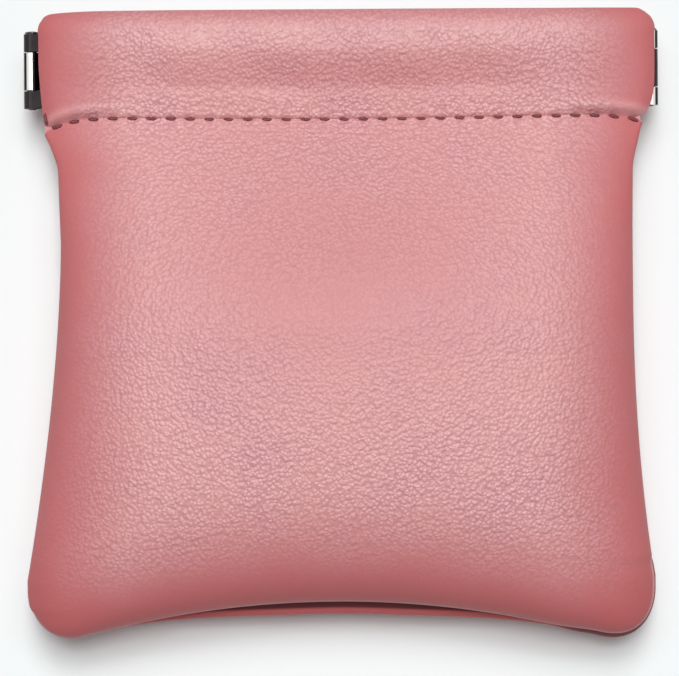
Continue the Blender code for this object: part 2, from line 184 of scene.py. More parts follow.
@dataclass(frozen=True)
class GrainLeather:
    """Soft pebbled leather, dyed rose through, with a thin satin resin finish.

    The finish mirrors the overhead light as a broad pale sheen, which breaks up on the pebbles. The
    stored tone mixes in a pale dye as painted sheen: it is 1 on the broad middle, which faces the lamps,
    and falls to 0 at folds, seams and the body's rounded edges, where the leather shows its deep dye and
    is matt. It falls towards -1 in the grooves, which are painted with shade. The stored grain says how
    far the pebbles stand out.

    Attributes:
        deep: the dye at folds and seams.
        pale: the dye with a painted sheen, where the leather faces the lamps.
        sheen_patch: a cooler, lighter colour, painted highlights of the sheen in cloudy patches.
        sheen_patch_share: how much of it shows at most.
        crease: painted shade in the creases between the pebbles.
        crease_share: how much of it shows at most.
        shade: painted shade in a groove.
        pebble_mm: the pebbles' width.
        pebble_span: distances from a pebble's middle, in its widths, where a crease starts and is deepest.
        sway_mm: how far the pebbles are swayed out of their places.
        wrinkle_mm: the width of the wrinkles that they lie on.
        wrinkle_share: the wrinkles' height, as a share of the pebbles'.
        patch_mm: the width of the cloudy patches.
        patch_span: noise values where a patch starts and is full.
        patch_least: the grain's strength outside the patches.
        relief_mm: the height of the grain where it is fully open.
        matt: the roughness of the deep leather.
        satin: the roughness where the tone is full.
        ior: the finish's index of refraction.
        mirror: how strongly the finish mirrors, where 0.5 is plain.
    """

    deep: str = "#b64e50"
    pale: str = "#d79898"
    sheen_patch: str = "#d89ca6"
    sheen_patch_share: float = 0.5
    crease: str = "#96444a"
    crease_share: float = 0.34
    shade: str = "#4a1519"
    pebble_mm: float = 0.50
    pebble_span: tuple[float, float] = (0.22, 0.62)
    sway_mm: float = 0.5
    wrinkle_mm: float = 1.15
    wrinkle_share: float = 0.4
    patch_mm: float = 9.0
    patch_span: tuple[float, float] = (0.36, 0.66)
    patch_least: float = 0.7
    relief_mm: float = 0.17
    matt: float = 0.85
    satin: float = 0.54
    ior: float = 1.55
    mirror: float = 1.0

    def build(self) -> bpy.types.Material:
        """Make the material.

        Returns:
            The grain side of the leather.
        """
        material, tree, shader = new_material("rose_pebbled_leather")
        place = rest_place(tree)
        tone = add_node(
            tree, "ShaderNodeAttribute", {"attribute_type": "GEOMETRY", "attribute_name": TONE}
        ).outputs["Fac"]
        patch = self.patches(tree, place)
        crease, height = self.grain(tree, place)
        strength = add_node(
            tree, "ShaderNodeMapRange", None, {"Value": patch, "To Min": self.patch_least, "To Max": 1.0}
        ).outputs["Result"]
        opened = add_node(
            tree, "ShaderNodeAttribute", {"attribute_type": "GEOMETRY", "attribute_name": GRAIN}
        ).outputs["Fac"]
        open_strength = add_node(
            tree, "ShaderNodeMath", {"operation": "MULTIPLY"}, {0: strength, 1: opened}
        ).outputs["Value"]
        bump = add_node(
            tree,
            "ShaderNodeBump",
            None,
            {"Height": height, "Distance": self.relief_mm * MM, "Strength": open_strength},
        )
        # Painted highlights in cloudy patches, only where the tone lays painted sheen.
        glow = add_node(
            tree, "ShaderNodeMath", {"operation": "MULTIPLY"}, {0: patch, 1: tone}
        ).outputs["Value"]
        painted_sheen_patches = add_node(
            tree, "ShaderNodeMath", {"operation": "MULTIPLY"}, {0: glow, 1: self.sheen_patch_share}
        ).outputs["Value"]
        # Painted shade in the creases between the pebbles, as strong as the grain is open.
        darker = add_node(
            tree, "ShaderNodeMath", {"operation": "MULTIPLY"}, {0: crease, 1: open_strength}
        ).outputs["Value"]
        painted_crease_shade = add_node(
            tree, "ShaderNodeMath", {"operation": "MULTIPLY"}, {0: darker, 1: self.crease_share}
        ).outputs["Value"]
        # Tone below 0 mixes in the painted shade of the grooves.
        groove = add_node(
            tree, "ShaderNodeMapRange", None, {"Value": tone, "From Min": 0.0, "From Max": -1.0}
        ).outputs["Result"]
        dyed = linear(self.deep)
        # The coats over the deep dye: the pale one is painted sheen, the cooler patches painted highlights,
        # and the crease and groove colours painted shade.
        coats = ((tone, self.pale), (painted_sheen_patches, self.sheen_patch), (painted_crease_shade, self.crease), (groove, self.shade))
        for share, colour in coats:
            layers = {"Factor": share, 6: dyed, 7: linear(colour)}
            dyed = add_node(tree, "ShaderNodeMix", {"data_type": "RGBA"}, layers).outputs[2]
        rough = add_node(
            tree,
            "ShaderNodeMapRange",
            None,
            {"Value": tone, "To Min": self.matt, "To Max": self.satin},
        )
        tree.links.new(dyed, shader.inputs["Base Color"])
        tree.links.new(rough.outputs["Result"], shader.inputs["Roughness"])
        tree.links.new(bump.outputs["Normal"], shader.inputs["Normal"])
        shader.inputs["IOR"].default_value = self.ior
        shader.inputs["Specular IOR Level"].default_value = self.mirror
        return material

    def patches(self, tree: bpy.types.NodeTree, place: bpy.types.NodeSocket) -> bpy.types.NodeSocket:
        """Cloudy patches, from 0 to 1, where the grain is tight or open."""
        none, full = self.patch_span
        cloud = add_node(
            tree,
            "ShaderNodeTexNoise",
            None,
            {"Vector": place, "Scale": 1.0 / self.patch_mm, "Detail": 3.0, "Roughness": 0.6},
        )
        return add_node(
            tree,
            "ShaderNodeMapRange",
            None,
            {"Value": cloud.outputs["Fac"], "From Min": none, "From Max": full},
        ).outputs["Result"]

    def grain(
        self, tree: bpy.types.NodeTree, place: bpy.types.NodeSocket
    ) -> tuple[bpy.types.NodeSocket, bpy.types.NodeSocket]:
        """Round pebbles between creases, on broader wrinkles.

        Args:
            tree: the material's node tree.
            place: the place at rest.

        Returns:
            How deep in a crease a point lies, from 0 to 1, and the height of the grain.
        """
        sway = add_node(tree, "ShaderNodeTexNoise", None, {"Vector": place, "Scale": 1.0 / self.wrinkle_mm})
        shifted = add_node(
            tree,
            "ShaderNodeVectorMath",
            {"operation": "MULTIPLY_ADD"},
            {0: sway.outputs["Color"], 1: (self.sway_mm,) * 3, 2: place},
        ).outputs["Vector"]
        pebbles = add_node(
            tree,
            "ShaderNodeTexVoronoi",
            {"feature": "SMOOTH_F1"},
            {"Vector": shifted, "Scale": 1.0 / self.pebble_mm, "Smoothness": 0.3},
        ).outputs["Distance"]
        wrinkles = add_node(
            tree,
            "ShaderNodeTexNoise",
            None,
            {"Vector": shifted, "Scale": 1.0 / self.wrinkle_mm, "Detail": 3.0, "Roughness": 0.6},
        ).outputs["Fac"]
        first, deepest = self.pebble_span
        crease = add_node(
            tree, "ShaderNodeMapRange", None, {"Value": pebbles, "From Min": first, "From Max": deepest}
        ).outputs["Result"]
        height = add_node(
            tree,
            "ShaderNodeMath",
            {"operation": "MULTIPLY_ADD"},
            {0: wrinkles, 1: self.wrinkle_share, 2: 1.0},
        ).outputs["Value"]
        height = add_node(
            tree, "ShaderNodeMath", {"operation": "SUBTRACT"}, {0: height, 1: pebbles}
        ).outputs["Value"]
        return crease, height


@dataclass(frozen=True)
class FleshBacking:
    """The brushed flesh side of the leather: matt, a little darker and finely napped.

    Attributes:
        colour: the crest of the nap.
        nap_colour: its depth.
        nap_mm: the nap's width.
        nap_height_mm: its height.
        roughness: how matt it is.
        sheen: the soft light along its fibres.
    """

    colour: str = "#b97377"
    nap_colour: str = "#a5595f"
    nap_mm: float = 0.35
    nap_height_mm: float = 0.08
    roughness: float = 0.9
    sheen: float = 0.25

    def build(self) -> bpy.types.Material:
        """Make the material.

        Returns:
            The inside of the leather.
        """
        material, tree, shader = new_material("napped_flesh_side")
        nap = add_node(
            tree,
            "ShaderNodeTexNoise",
            None,
            {"Vector": rest_place(tree), "Scale": 1.0 / self.nap_mm, "Detail": 3.0, "Roughness": 0.7},
        )
        tint = add_node(
            tree,
            "ShaderNodeMix",
            {"data_type": "RGBA"},
            {"Factor": nap.outputs["Fac"], 6: linear(self.nap_colour), 7: linear(self.colour)},
        )
        bump = add_node(
            tree,
            "ShaderNodeBump",
            None,
            {"Height": nap.outputs["Fac"], "Distance": self.nap_height_mm * MM, "Strength": 0.7},
        )
        tree.links.new(tint.outputs[2], shader.inputs["Base Color"])
        tree.links.new(bump.outputs["Normal"], shader.inputs["Normal"])
        shader.inputs["Roughness"].default_value = self.roughness
        shader.inputs["Sheen Weight"].default_value = self.sheen
        return material


@dataclass(frozen=True)
class Thread:
    """Twisted polyester sewing thread, maroon, with a soft lustre along its plies.

    Attributes:
        colour: the crest of a ply.
        shade_colour: the groove between two.
        ply_mm: the width of a ply.
        ply_height_mm: its height.
        roughness: how matt the thread is.
        sheen: the soft light along its fibres.
    """

    colour: str = "#7d2e38"
    shade_colour: str = "#571a23"
    ply_mm: float = 0.28
    ply_height_mm: float = 0.05
    roughness: float = 0.55
    sheen: float = 0.2

    def build(self) -> bpy.types.Material:
        """Make the material.

        Returns:
            The thread of the hem seams.
        """
        material, tree, shader = new_material("maroon_polyester_thread")
        plies = add_node(
            tree,
            "ShaderNodeTexWave",
            {"wave_type": "BANDS", "bands_direction": "DIAGONAL"},
            {"Vector": rest_place(tree), "Scale": WAVE_SCALE / self.ply_mm, "Distortion": 0.6},
        )
        tint = add_node(
            tree,
            "ShaderNodeMix",
            {"data_type": "RGBA"},
            {"Factor": plies.outputs["Fac"], 6: linear(self.shade_colour), 7: linear(self.colour)},
        )
        bump = add_node(
            tree,
            "ShaderNodeBump",
            None,
            {"Height": plies.outputs["Fac"], "Distance": self.ply_height_mm * MM, "Strength": 0.8},
        )
        tree.links.new(tint.outputs[2], shader.inputs["Base Color"])
        tree.links.new(bump.outputs["Normal"], shader.inputs["Normal"])
        shader.inputs["Roughness"].default_value = self.roughness
        shader.inputs["Sheen Weight"].default_value = self.sheen
        return material


@dataclass(frozen=True)
class PlatedSteel:
    """Steel with a plated finish: fine scratches and slightly uneven polish.

    A hinge's dark plating may carry a painted highlight: a bright band along the crown of its
    knuckles, where the lamps glint.

    Attributes:
        name: the material's name, after what it is.
        colour: the metal's colour face on.
        roughness: how matt the polish is.
        highlight_band: the painted highlight's edges, in millimetres from the middle of the pouch, if any.
        highlight_colour: the painted highlight's colour.
        highlight_fade: the width over which the painted highlight fades out by the band.
        smear_mm: the width of the smears in the polish.
        smear_least: the roughness of the brightest smear, as a share of the metal's.
        smear_most: the roughness of the dullest.
        scratch_mm: the width of the scratches.
        scratch_depth_mm: their depth.
        scratch_stretch: their width as a share of their length.
    """

    name: str
    colour: str
    roughness: float
    highlight_band: tuple[float, float] | None = None
    highlight_colour: str = "#dcd9d6"
    highlight_fade: float = 0.05
    smear_mm: float = 1.6
    smear_least: float = 0.8
    smear_most: float = 1.25
    scratch_mm: float = 0.12
    scratch_depth_mm: float = 0.002
    scratch_stretch: float = 0.08

    def build(self) -> bpy.types.Material:
        """Make the material.

        Returns:
            The metal, with its polish read from Object coordinates.
        """
        material, tree, shader = new_material(self.name)
        place = add_node(tree, "ShaderNodeTexCoord").outputs["Object"]
        smears = add_node(
            tree, "ShaderNodeTexNoise", None, {"Vector": place, "Scale": 1.0 / (self.smear_mm * MM)}
        )
        stretched = add_node(
            tree, "ShaderNodeMapping", None, {"Vector": place, "Scale": (1.0, self.scratch_stretch, 1.0)}
        ).outputs["Vector"]
        scratches = add_node(
            tree, "ShaderNodeTexNoise", None, {"Vector": stretched, "Scale": 1.0 / (self.scratch_mm * MM)}
        )
        rough = add_node(
            tree,
            "ShaderNodeMapRange",
            None,
            {
                "Value": smears.outputs["Fac"],
                "From Min": 0.3,
                "From Max": 0.7,
                "To Min": self.roughness * self.smear_least,
                "To Max": self.roughness * self.smear_most,
            },
        )
        bump = add_node(
            tree,
            "ShaderNodeBump",
            None,
            {"Height": scratches.outputs["Fac"], "Distance": self.scratch_depth_mm * MM, "Strength": 0.5},
        )
        tree.links.new(rough.outputs["Result"], shader.inputs["Roughness"])
        tree.links.new(bump.outputs["Normal"], shader.inputs["Normal"])
        shader.inputs["Base Color"].default_value = linear(self.colour)
        shader.inputs["Metallic"].default_value = 1.0
        if self.highlight_band:
            tree.links.new(self.band(tree, place), shader.inputs["Base Color"])
        return material

    def band(self, tree: bpy.types.NodeTree, place: bpy.types.NodeSocket) -> bpy.types.NodeSocket:
        """The colour of a plating with a painted highlight: a bright band along its knuckles' crown.

        The band is where the distance from the middle of the pouch is close to that of its own middle.

        Args:
            tree: the material's node tree.
            place: Object coordinates.

        Returns:
            The colour's socket.
        """
        across = add_node(tree, "ShaderNodeSeparateXYZ", None, {"Vector": place}).outputs["X"]
        out = add_node(tree, "ShaderNodeMath", {"operation": "ABSOLUTE"}, {0: across}).outputs["Value"]
        middle, half = (self.highlight_band[0] + self.highlight_band[1]) / 2, (self.highlight_band[1] - self.highlight_band[0]) / 2
        away = add_node(
            tree, "ShaderNodeMath", {"operation": "SUBTRACT"}, {0: out, 1: middle * MM}
        ).outputs["Value"]
        off = add_node(tree, "ShaderNodeMath", {"operation": "ABSOLUTE"}, {0: away}).outputs["Value"]
        fade = add_node(
            tree,
            "ShaderNodeMapRange",
            {"interpolation_type": "SMOOTHSTEP"},
            {"Value": off, "From Min": half * MM, "From Max": (half + self.highlight_fade) * MM},
        ).outputs["Result"]
        mixed = add_node(
            tree,
            "ShaderNodeMix",
            {"data_type": "RGBA"},
            {"Factor": fade, 6: linear(self.highlight_colour), 7: linear(self.colour)},
        )
        return mixed.outputs[2]


@dataclass(frozen=True)
class WhiteCard:
    """Matt white card under the pouch, with a faint tooth.

    Attributes:
        colour: the card's white.
        tooth_mm: the width of its tooth.
        tooth_height_mm: the height of its tooth.
        glow: the little white that it adds for what looks at it straight or in a mirror.
    """

    colour: str = "#f0f6f6"
    tooth_mm: float = 0.7
    tooth_height_mm: float = 0.01
    glow: float = 0.04

    def build(self) -> bpy.types.Material:
        """Make the material.

        Returns:
            The floor's material.
        """
        material, tree, shader = new_material("matt_white_card")
        place = add_node(tree, "ShaderNodeTexCoord").outputs["Object"]
        tooth = add_node(
            tree, "ShaderNodeTexNoise", None, {"Vector": place, "Scale": 1.0 / (self.tooth_mm * MM)}
        )
        bump = add_node(
            tree,
            "ShaderNodeBump",
            None,
            {"Height": tooth.outputs["Fac"], "Distance": self.tooth_height_mm * MM, "Strength": 0.3},
        )
        tree.links.new(bump.outputs["Normal"], shader.inputs["Normal"])
        shader.inputs["Base Color"].default_value = linear(self.colour)
        shader.inputs["Roughness"].default_value = 1.0
        shader.inputs["Specular IOR Level"].default_value = 0.0
        seen = seen_straight(tree)
        strength = add_node(
            tree, "ShaderNodeMath", {"operation": "MULTIPLY"}, {0: seen, 1: self.glow}
        ).outputs["Value"]
        shader.inputs["Emission Color"].default_value = (1.0, 1.0, 1.0, 1.0)
        tree.links.new(strength, shader.inputs["Emission Strength"])
        return material


def seen_straight(tree: bpy.types.NodeTree) -> bpy.types.NodeSocket:
    """A value of 1 for rays from the camera, a mirror or glass, and 0 for those that light a surface."""
    path = add_node(tree, "ShaderNodeLightPath").outputs
    mirrored = add_node(
        tree,
        "ShaderNodeMath",
        {"operation": "MAXIMUM"},
        {0: path["Is Glossy Ray"], 1: path["Is Transmission Ray"]},
    ).outputs["Value"]
    return add_node(
        tree, "ShaderNodeMath", {"operation": "MAXIMUM"}, {0: mirrored, 1: path["Is Camera Ray"]}
    ).outputs["Value"]


def grid_quads(rows: int, columns: int) -> np.ndarray:
    """Quads of a grid whose points run row by row.

    Args:
        rows: how many rows of points.
        columns: how many points a row holds.

    Returns:
        Four point numbers for each quad. They turn so that a grid whose rows run down the page, and
        whose columns run to the right, faces the reader.
    """
    first = (np.arange(rows - 1)[:, None] * columns + np.arange(columns - 1)).ravel()
    return np.stack([first, first + columns, first + columns + 1, first + 1], axis=1)


def point_normals(points: np.ndarray, quads: np.ndarray) -> np.ndarray:
    """Unit normals of a surface's points: the sum of the cross products of each quad's diagonals.

    Args:
        points: the surface's points.
        quads: its faces.

    Returns:
        One unit normal for each point.
    """
    a, b, c, d = (points[quads[:, k]] for k in range(4))
    across = np.cross(c - a, d - b)
    total = np.zeros_like(points)
    for k in range(4):
        np.add.at(total, quads[:, k], across)
    return total / np.maximum(np.linalg.norm(total, axis=1), 1e-12)[:, None]


def put_in_scene(name: str, data: bpy.types.ID) -> bpy.types.Object:
    """Make an object of a mesh, a lamp or a camera, and put it in the scene."""
    obj = bpy.data.objects.new(name, data)
    bpy.context.scene.collection.objects.link(obj)
    return obj


def turn_outward(mesh: bpy.types.Mesh) -> None:
    """Turn the faces of a mesh of closed bodies so that they all point outwards."""
    work = bmesh.new()
    work.from_mesh(mesh)
    bmesh.ops.recalc_face_normals(work, faces=work.faces)
    work.to_mesh(mesh)
    work.free()


def make_piece(
    name: str,
    points: np.ndarray,
    faces: list[list[int]],
    materials: list[bpy.types.Material],
    slots: np.ndarray | None = None,
    flat: np.ndarray | None = None,
    normals: np.ndarray | None = None,
    stored: dict[str, np.ndarray] | None = None,
) -> bpy.types.Object:
    """Make an object from points in millimetres, at the origin, with its place at rest stored on it.

    Args:
        name: the object's name.
        points: the points, in millimetres.
        faces: the point numbers of each face.
        materials: the object's materials.
        slots: which of them each face takes.
        flat: true for each face that is shaded flat.
        normals: a normal for each corner of each smooth face, in the faces' order.
        stored: more values for each point, by the name that a material reads them by.

    Returns:
        The new object.
    """
    mesh = bpy.data.meshes.new(name)
    mesh.from_pydata((points * MM).tolist(), [], faces)
    mesh.update()
    for material in materials:
        mesh.materials.append(material)
    if slots is not None:
        mesh.polygons.foreach_set("material_index", slots.astype(np.int32))
    mesh.shade_smooth()
    if flat is not None:
        mesh.polygons.foreach_set("use_smooth", ~flat)
    place = mesh.attributes.new(PLACE, "FLOAT_VECTOR", "POINT")
    place.data.foreach_set("vector", points.astype(np.float32).ravel())
    for key, values in (stored or {}).items():
        mesh.attributes.new(key, "FLOAT", "POINT").data.foreach_set("value", values.astype(np.float32))
    if normals is not None:
        mesh.normals_split_custom_set(normals.reshape(-1, 3).tolist())
    return put_in_scene(name, mesh)


@dataclass(frozen=True)
class Ramp:
    """A smooth step from 0 to 1, from a start over a length, or towards less where that is negative."""

    start: float
    length: float

    def at(self, place: np.ndarray | float) -> np.ndarray:
        """How far up the step a place lies, from 0 to 1."""
        return ease((place - self.start) / self.length)


@dataclass(frozen=True)
class Hump:
    """A bell curve of height 1 at its middle, which has fallen to 0.37 a width away."""

    middle: float
    width: float

    def at(self, place: np.ndarray) -> np.ndarray:
        """The height of the bell at a place."""
        return bell((place - self.middle) / self.width)


@dataclass(frozen=True)
class Slope:
    """A slope that swings up from level to an angle and back, along a distance."""

    degrees: float
    swings_up: Ramp
    swings_back: Ramp

    def at(self, d: np.ndarray) -> np.ndarray:
        """The angle at a distance, in radians."""
        return math.radians(self.degrees) * (self.swings_up.at(d) - self.swings_back.at(d))


def climbed(d: np.ndarray, slopes: tuple[Slope, ...], reach: float, points: int) -> np.ndarray:
    """Height gained along a distance: the running sum of the tangent of the slopes' angles.

    Args:
        d: distances.
        slopes: what their angles are added up from.
        reach: the distance at which the sum ends.
        points: how many places it is worked out at.

    Returns:
        A height for each distance.
    """
    steps = np.linspace(0.0, reach, points)
    angle = sum(slope.at(steps) for slope in slopes)
    return np.interp(d, steps, np.cumsum(np.tan(angle)) * (steps[1] - steps[0]))


@dataclass(frozen=True)
class SideOutline:
    """One side of the pouch seen from above, as distances from its middle line.

    Attributes:
        hem: half width of the hem at its fullest.
        hem_turn: power with which the hem's edge turns in from there to the stitch line.
        hem_corner: width of the rounding at the hem's top corner.
        top_droop: how far the top edge drops at its end.
        stitch: half width at the stitch line.
        droop: how far the stitch line drops at its end.
        shoulder: power with which the edge draws in from the shoulder to the waist.
        waist: half width where the body is narrowest.
        waist_y: where that is.
        corner: half width at the bottom corner.
        swing: power with which the edge swings out from the waist to the corner.
    """

    hem: float
    hem_turn: float
    hem_corner: float
    top_droop: float
    stitch: float
    droop: float
    shoulder: float
    waist: float
    waist_y: float
    corner: float
    swing: float


@dataclass(frozen=True)
class PouchShape:
    """The form of the leather, from the frame's own measures and from sizes read off the photograph.

    Its formulas take a place as X and Y, as u, the share of the way from the middle line to the left
    edge (-1) or the right edge (1), as d, the distance up the hem from the stitch line, or as t, the
    share of the way down the body from the stitch line (0) to the bottom (1).

    Attributes:
        top: Y of the hem's top edge.
        bottom: Y of the bottom corners.
        seam: height of the plane where the panels meet.
        crown: how far the front's outer skin stands over that plane.
    """

    top: float
    bottom: float
    seam: float
    crown: float
    left: SideOutline = SideOutline(
        hem=40.1,
        hem_turn=1.4,
        hem_corner=1.05,
        top_droop=0.5,
        stitch=39.5,
        droop=2.2,
        shoulder=1.0,
        waist=37.5,
        waist_y=11.0,
        corner=42.3,
        swing=1.70,
    )
    right: SideOutline = SideOutline(
        hem=41.6,
        hem_turn=4.0,
        hem_corner=1.6,
        top_droop=0.05,
        stitch=40.0,
        droop=1.1,
        shoulder=2.5,
        waist=38.75,
        waist_y=7.0,
        corner=41.55,
        swing=2.40,
    )

    # The leather's thickness, the gap between the two hems, and the gap between the layers of one.
    leather: float = 0.8
    mouth_gap: float = 0.3
    layer_gap: float = 0.3

    # The hem's depth and the part of it above the ridge. The inner layer runs on below the stitch line as
    # a narrower flap, and widens from the flap's end to a taper's length above that line.
    hem_depth: float = 14.5
    hem_ridge: float = 3.3
    hem_flap: float = 2.5
    flap_end: float = 0.4
    flap_taper: float = 2.0

    # The hem's outline: how high up its edge it is fullest, the depth and power of its top corner's
    # rounding, the half width of its inner layer, and the droop of its top edge, with the share of that
    # edge that is rounded off and how far. Then the droop and the bow of the stitch line, and the square
    # of the u at which the bow is level.
    hem_full: float = 7.5
    hem_corner_depth: float = 2.8
    hem_corner_power: float = 1.7
    hem_reach: float = 39.6
    top_droop_power: float = 11.0
    top_round: float = 0.022
    top_fall: float = 0.8
    stitch_droop_power: float = 13.0
    stitch_bow: float = 0.6
    bow_level: float = 0.3

    # The hem's profile: a steep roll over the thread, then a foot and a long slant over the steel strip.
    # The roll is followed for its first two millimetres, and both profiles are worked out in fine steps.
    roll: Slope = Slope(55.0, Ramp(0.03, 0.25), Ramp(0.28, 0.50))
    roll_reach: float = 2.0
    roll_points: int = 201
    foot: Slope = Slope(11.0, Ramp(0.3, 0.6), Ramp(2.2, 1.6))
    slant: Slope = Slope(14.0, Ramp(3.4, 1.6), Ramp(8.4, 1.8))
    slant_points: int = 401

    # The hem's ends: how much of the profile they lose, from what X on, and the even step up from the
    # stitch line that takes the roll's place over the hinge sleeves. At the very end they curl down.
    pulled_share: float = 0.88
    pulled: Ramp = Ramp(20.0, 19.0)
    sleeve: Ramp = Ramp(28.0, 7.0)
    sleeve_lift: float = 1.3
    sleeve_climb: Ramp = Ramp(0.0, 1.5)
    curl_width: float = 1.9
    curl_drop: float = 0.9

    # The soft unevenness of the hem's middle: a broad wave and a ripple, each with its height and with
    # the lengths across and up in which it turns by one radian, the wave's own start in radians, and the
    # d from which they show.
    wave_height: float = 0.10
    wave_across: float = 3.9
    wave_shift: float = 0.8
    wave_up: float = 3.1
    ripple_height: float = 0.07
    ripple_across: float = 2.3
    ripple_up: float = 2.0
    waves_from: Ramp = Ramp(1.5, 3.0)

    # The body's sides: the neck, by Y, under the stitch line, and the share of the drawing in that lies
    # below it.
    neck: Ramp = Ramp(20.2, 6.0)
    below_neck: float = 0.3

    # The bottom edge: its arch and the number of places at which its lowest point is sought, its corners,
    # its tilt to the right, the back's lip, by u, and the pull on the front's edge at the right corner.
    arch_rise: float = 4.7
    arch_points: int = 801
    corner_width: float = 6.5
    corner_height: float = 7.8
    bottom_tilt: float = 0.38
    back_lip: float = 1.75
    lip_across: Ramp = Ramp(0.86, -0.75)
    front_pull: float = 0.62
    front_pulled: Hump = Hump(0.86, 0.11)

    # The body's height: where its crown lies by t, the powers of the climb to it, of the round end below
    # it and of the section across, and how much fuller the back would be, were it not pressed.
    crown_place: float = 0.46
    climb_power: float = 2.5
    side_roundness: float = 2.7
    end_roundness: float = 2.5
    back_fullness: float = 1.45

    # The height of the body's widest line: at the sides, at the bottom, and where it changes, by t.
    edge_height: float = 3.0
    foot_height: float = 2.1
    edge_swells: Ramp = Ramp(0.0, 0.16)
    edge_settles: Ramp = Ramp(0.72, 0.28)

    # The seam's fold: its radius, the thickness it is skived to, the angle where the body runs into it,
    # and the depth of leather turned inside.
    fold_radius: float = 0.34
    skived: float = 0.45
    fold_start: float = math.radians(60.0)
    allowance: float = 3.0

    # How far the fold stands out at the stitch line, is tucked under the sides, and shows as a rim along
    # the bottom. It is tucked within a few millimetres of the stitch line. The rim shows below a Y on
    # either side, and inside an X wherever it lies under the rim's top.
    stand: float = 0.15
    tuck: float = 0.30
    rim: float = 0.50
    tucked: Ramp = Ramp(0.0, 7.0)
    rim_left: Ramp = Ramp(-36.5, -2.5)
    rim_right: Ramp = Ramp(-29.5, -3.0)
    rim_middle: Ramp = Ramp(38.5, -3.0)
    rim_top: float = -30.0

    # The back's lip: how far it gapes from the front, the turn and the depth of its dip, and how it
    # starts at its ends, by u, and above the edge, by t.
    gape: float = 0.6
    dip: float = math.radians(62.0)
    dip_depth: float = 0.75
    lip_starts: Ramp = Ramp(1.0, -0.18)
    lip_falls: Ramp = Ramp(0.75, 0.25)

    # The back's fold round the right corner, where it peeks out from under the front's: how far, by what
    # X and Y it does so, and the X where it hides again.
    peek: float = 0.28
    peek_across: Ramp = Ramp(27.0, 5.0)
    peek_down: Ramp = Ramp(-29.0, -4.0)
    hidden_share: float = 0.8
    hidden: Hump = Hump(35.0, 3.5)

    # The stitches along the hem, by X, and the puckers that their thread pulls.
    stitch_pitch: float = 2.575
    first_stitch: float = -33.1
    stitch_count: int = 29
    end_stitches: tuple[float, ...] = (-37.9, -35.7)
    pucker: float = 0.13
    pucker_reach: float = 0.9

    @classmethod
    def from_frame(cls) -> PouchShape:
        """Read the overall sizes from the frame's nodes.

        Returns:
            The pouch's shape.
        """
        low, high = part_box("front_panel")
        pin_low, pin_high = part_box("left_hinge_pin")
        seam = (pin_low.z + pin_high.z) / 2 / MM
        return cls(top=high.y / MM, bottom=low.y / MM, seam=seam, crown=high.z / MM - seam)

    @property
    def inner(self) -> float:
        """Height of the middle of the hem's inner layer, and of the seam allowance."""
        return self.mouth_gap / 2 + self.leather / 2

    @property
    def pinch(self) -> float:
        """Height of the middle of the outer layer at the stitch line."""
        return self.mouth_gap / 2 + self.leather + self.layer_gap + self.leather / 2

    def outline(self, u: np.ndarray, key: str) -> np.ndarray:
        """A value of the left or the right outline, for each place across the panel."""
        return np.where(u < 0, getattr(self.left, key), getattr(self.right, key))

    def stitch_y(self, u: np.ndarray) -> np.ndarray:
        """Y of the stitch line, which sags in the middle and falls as a high power towards its ends."""
        bow = self.stitch_bow * (u**2 - self.bow_level)
        droop = self.outline(u, "droop") * np.abs(u) ** self.stitch_droop_power
        return self.top - self.hem_depth + bow - droop

    def hem_half(self, y: np.ndarray, u: np.ndarray) -> np.ndarray:
        """Half width of the hem: powers of the depth in to the stitch line and in to the top corner."""
        hem, narrow = self.outline(u, "hem"), self.outline(u, "stitch")
        stitch = self.top - self.hem_depth
        below = np.clip((stitch + self.hem_full - y) / self.hem_full, 0.0, 1.0)
        into = np.clip(1.0 - (self.top - y) / self.hem_corner_depth, 0.0, 1.0)
        corner = self.outline(u, "hem_corner") * into**self.hem_corner_power
        return hem - (hem - narrow) * below ** self.outline(u, "hem_turn") - corner

    def hem_waves(self, d: np.ndarray, x: np.ndarray) -> np.ndarray:
        """The hem's unevenness: a product of two sines, plus a sine that runs aslant."""
        wave = np.sin(x / self.wave_across + self.wave_shift) * np.sin(d / self.wave_up)
        ripple = np.sin(x / self.ripple_across + d / self.ripple_up)
        return self.wave_height * wave + self.ripple_height * ripple

    def hem_height(self, d: np.ndarray, x: np.ndarray) -> np.ndarray:
        """Height of the hem's outer layer: full in the middle, and pulled flat over the hinge sleeves."""
        kept = 1.0 - self.pulled_share * self.pulled.at(np.abs(x))
        sleeve = self.sleeve.at(np.abs(x))
        lift = climbed(d, (self.roll,), self.roll_reach, self.roll_points) * (1.0 - sleeve)
        lift = lift + self.sleeve_lift * self.sleeve_climb.at(d) * sleeve
        swell = climbed(d, (self.foot, self.slant), self.hem_depth, self.slant_points)
        return self.pinch + lift + (swell + self.hem_waves(d, x) * self.waves_from.at(d)) * kept

    def body_half(self, y: np.ndarray, u: np.ndarray) -> np.ndarray:
        """Half width of the body: a shoulder below the stitch line, the waist, and a swing out below it."""
        waist, waist_y = self.outline(u, "waist"), self.outline(u, "waist_y")
        above = np.clip((y - waist_y) / (self.top - self.hem_depth - waist_y), 0.0, 1.0)
        below = np.clip((waist_y - y) / (waist_y - self.bottom - self.corner_height), 0.0, 1.0)
        puff = self.below_neck * above ** self.outline(u, "shoulder")
        puff = puff + (1.0 - self.below_neck) * self.neck.at(y)
        over = (self.outline(u, "stitch") - waist) * puff
        return waist + over + (self.outline(u, "corner") - waist) * below ** self.outline(u, "swing")

    def arch(self, x: np.ndarray, u: np.ndarray) -> np.ndarray:
        """The bottom seam before it is set to height: an arch, and a quarter ellipse up each corner."""
        start = self.outline(u, "corner") - self.corner_width
        turn = np.clip((np.abs(x) - start) / self.corner_width, 0.0, 1.0)
        return self.corner_height * (1.0 - np.sqrt(1.0 - turn**2)) - self.arch_rise * (x / start) ** 2

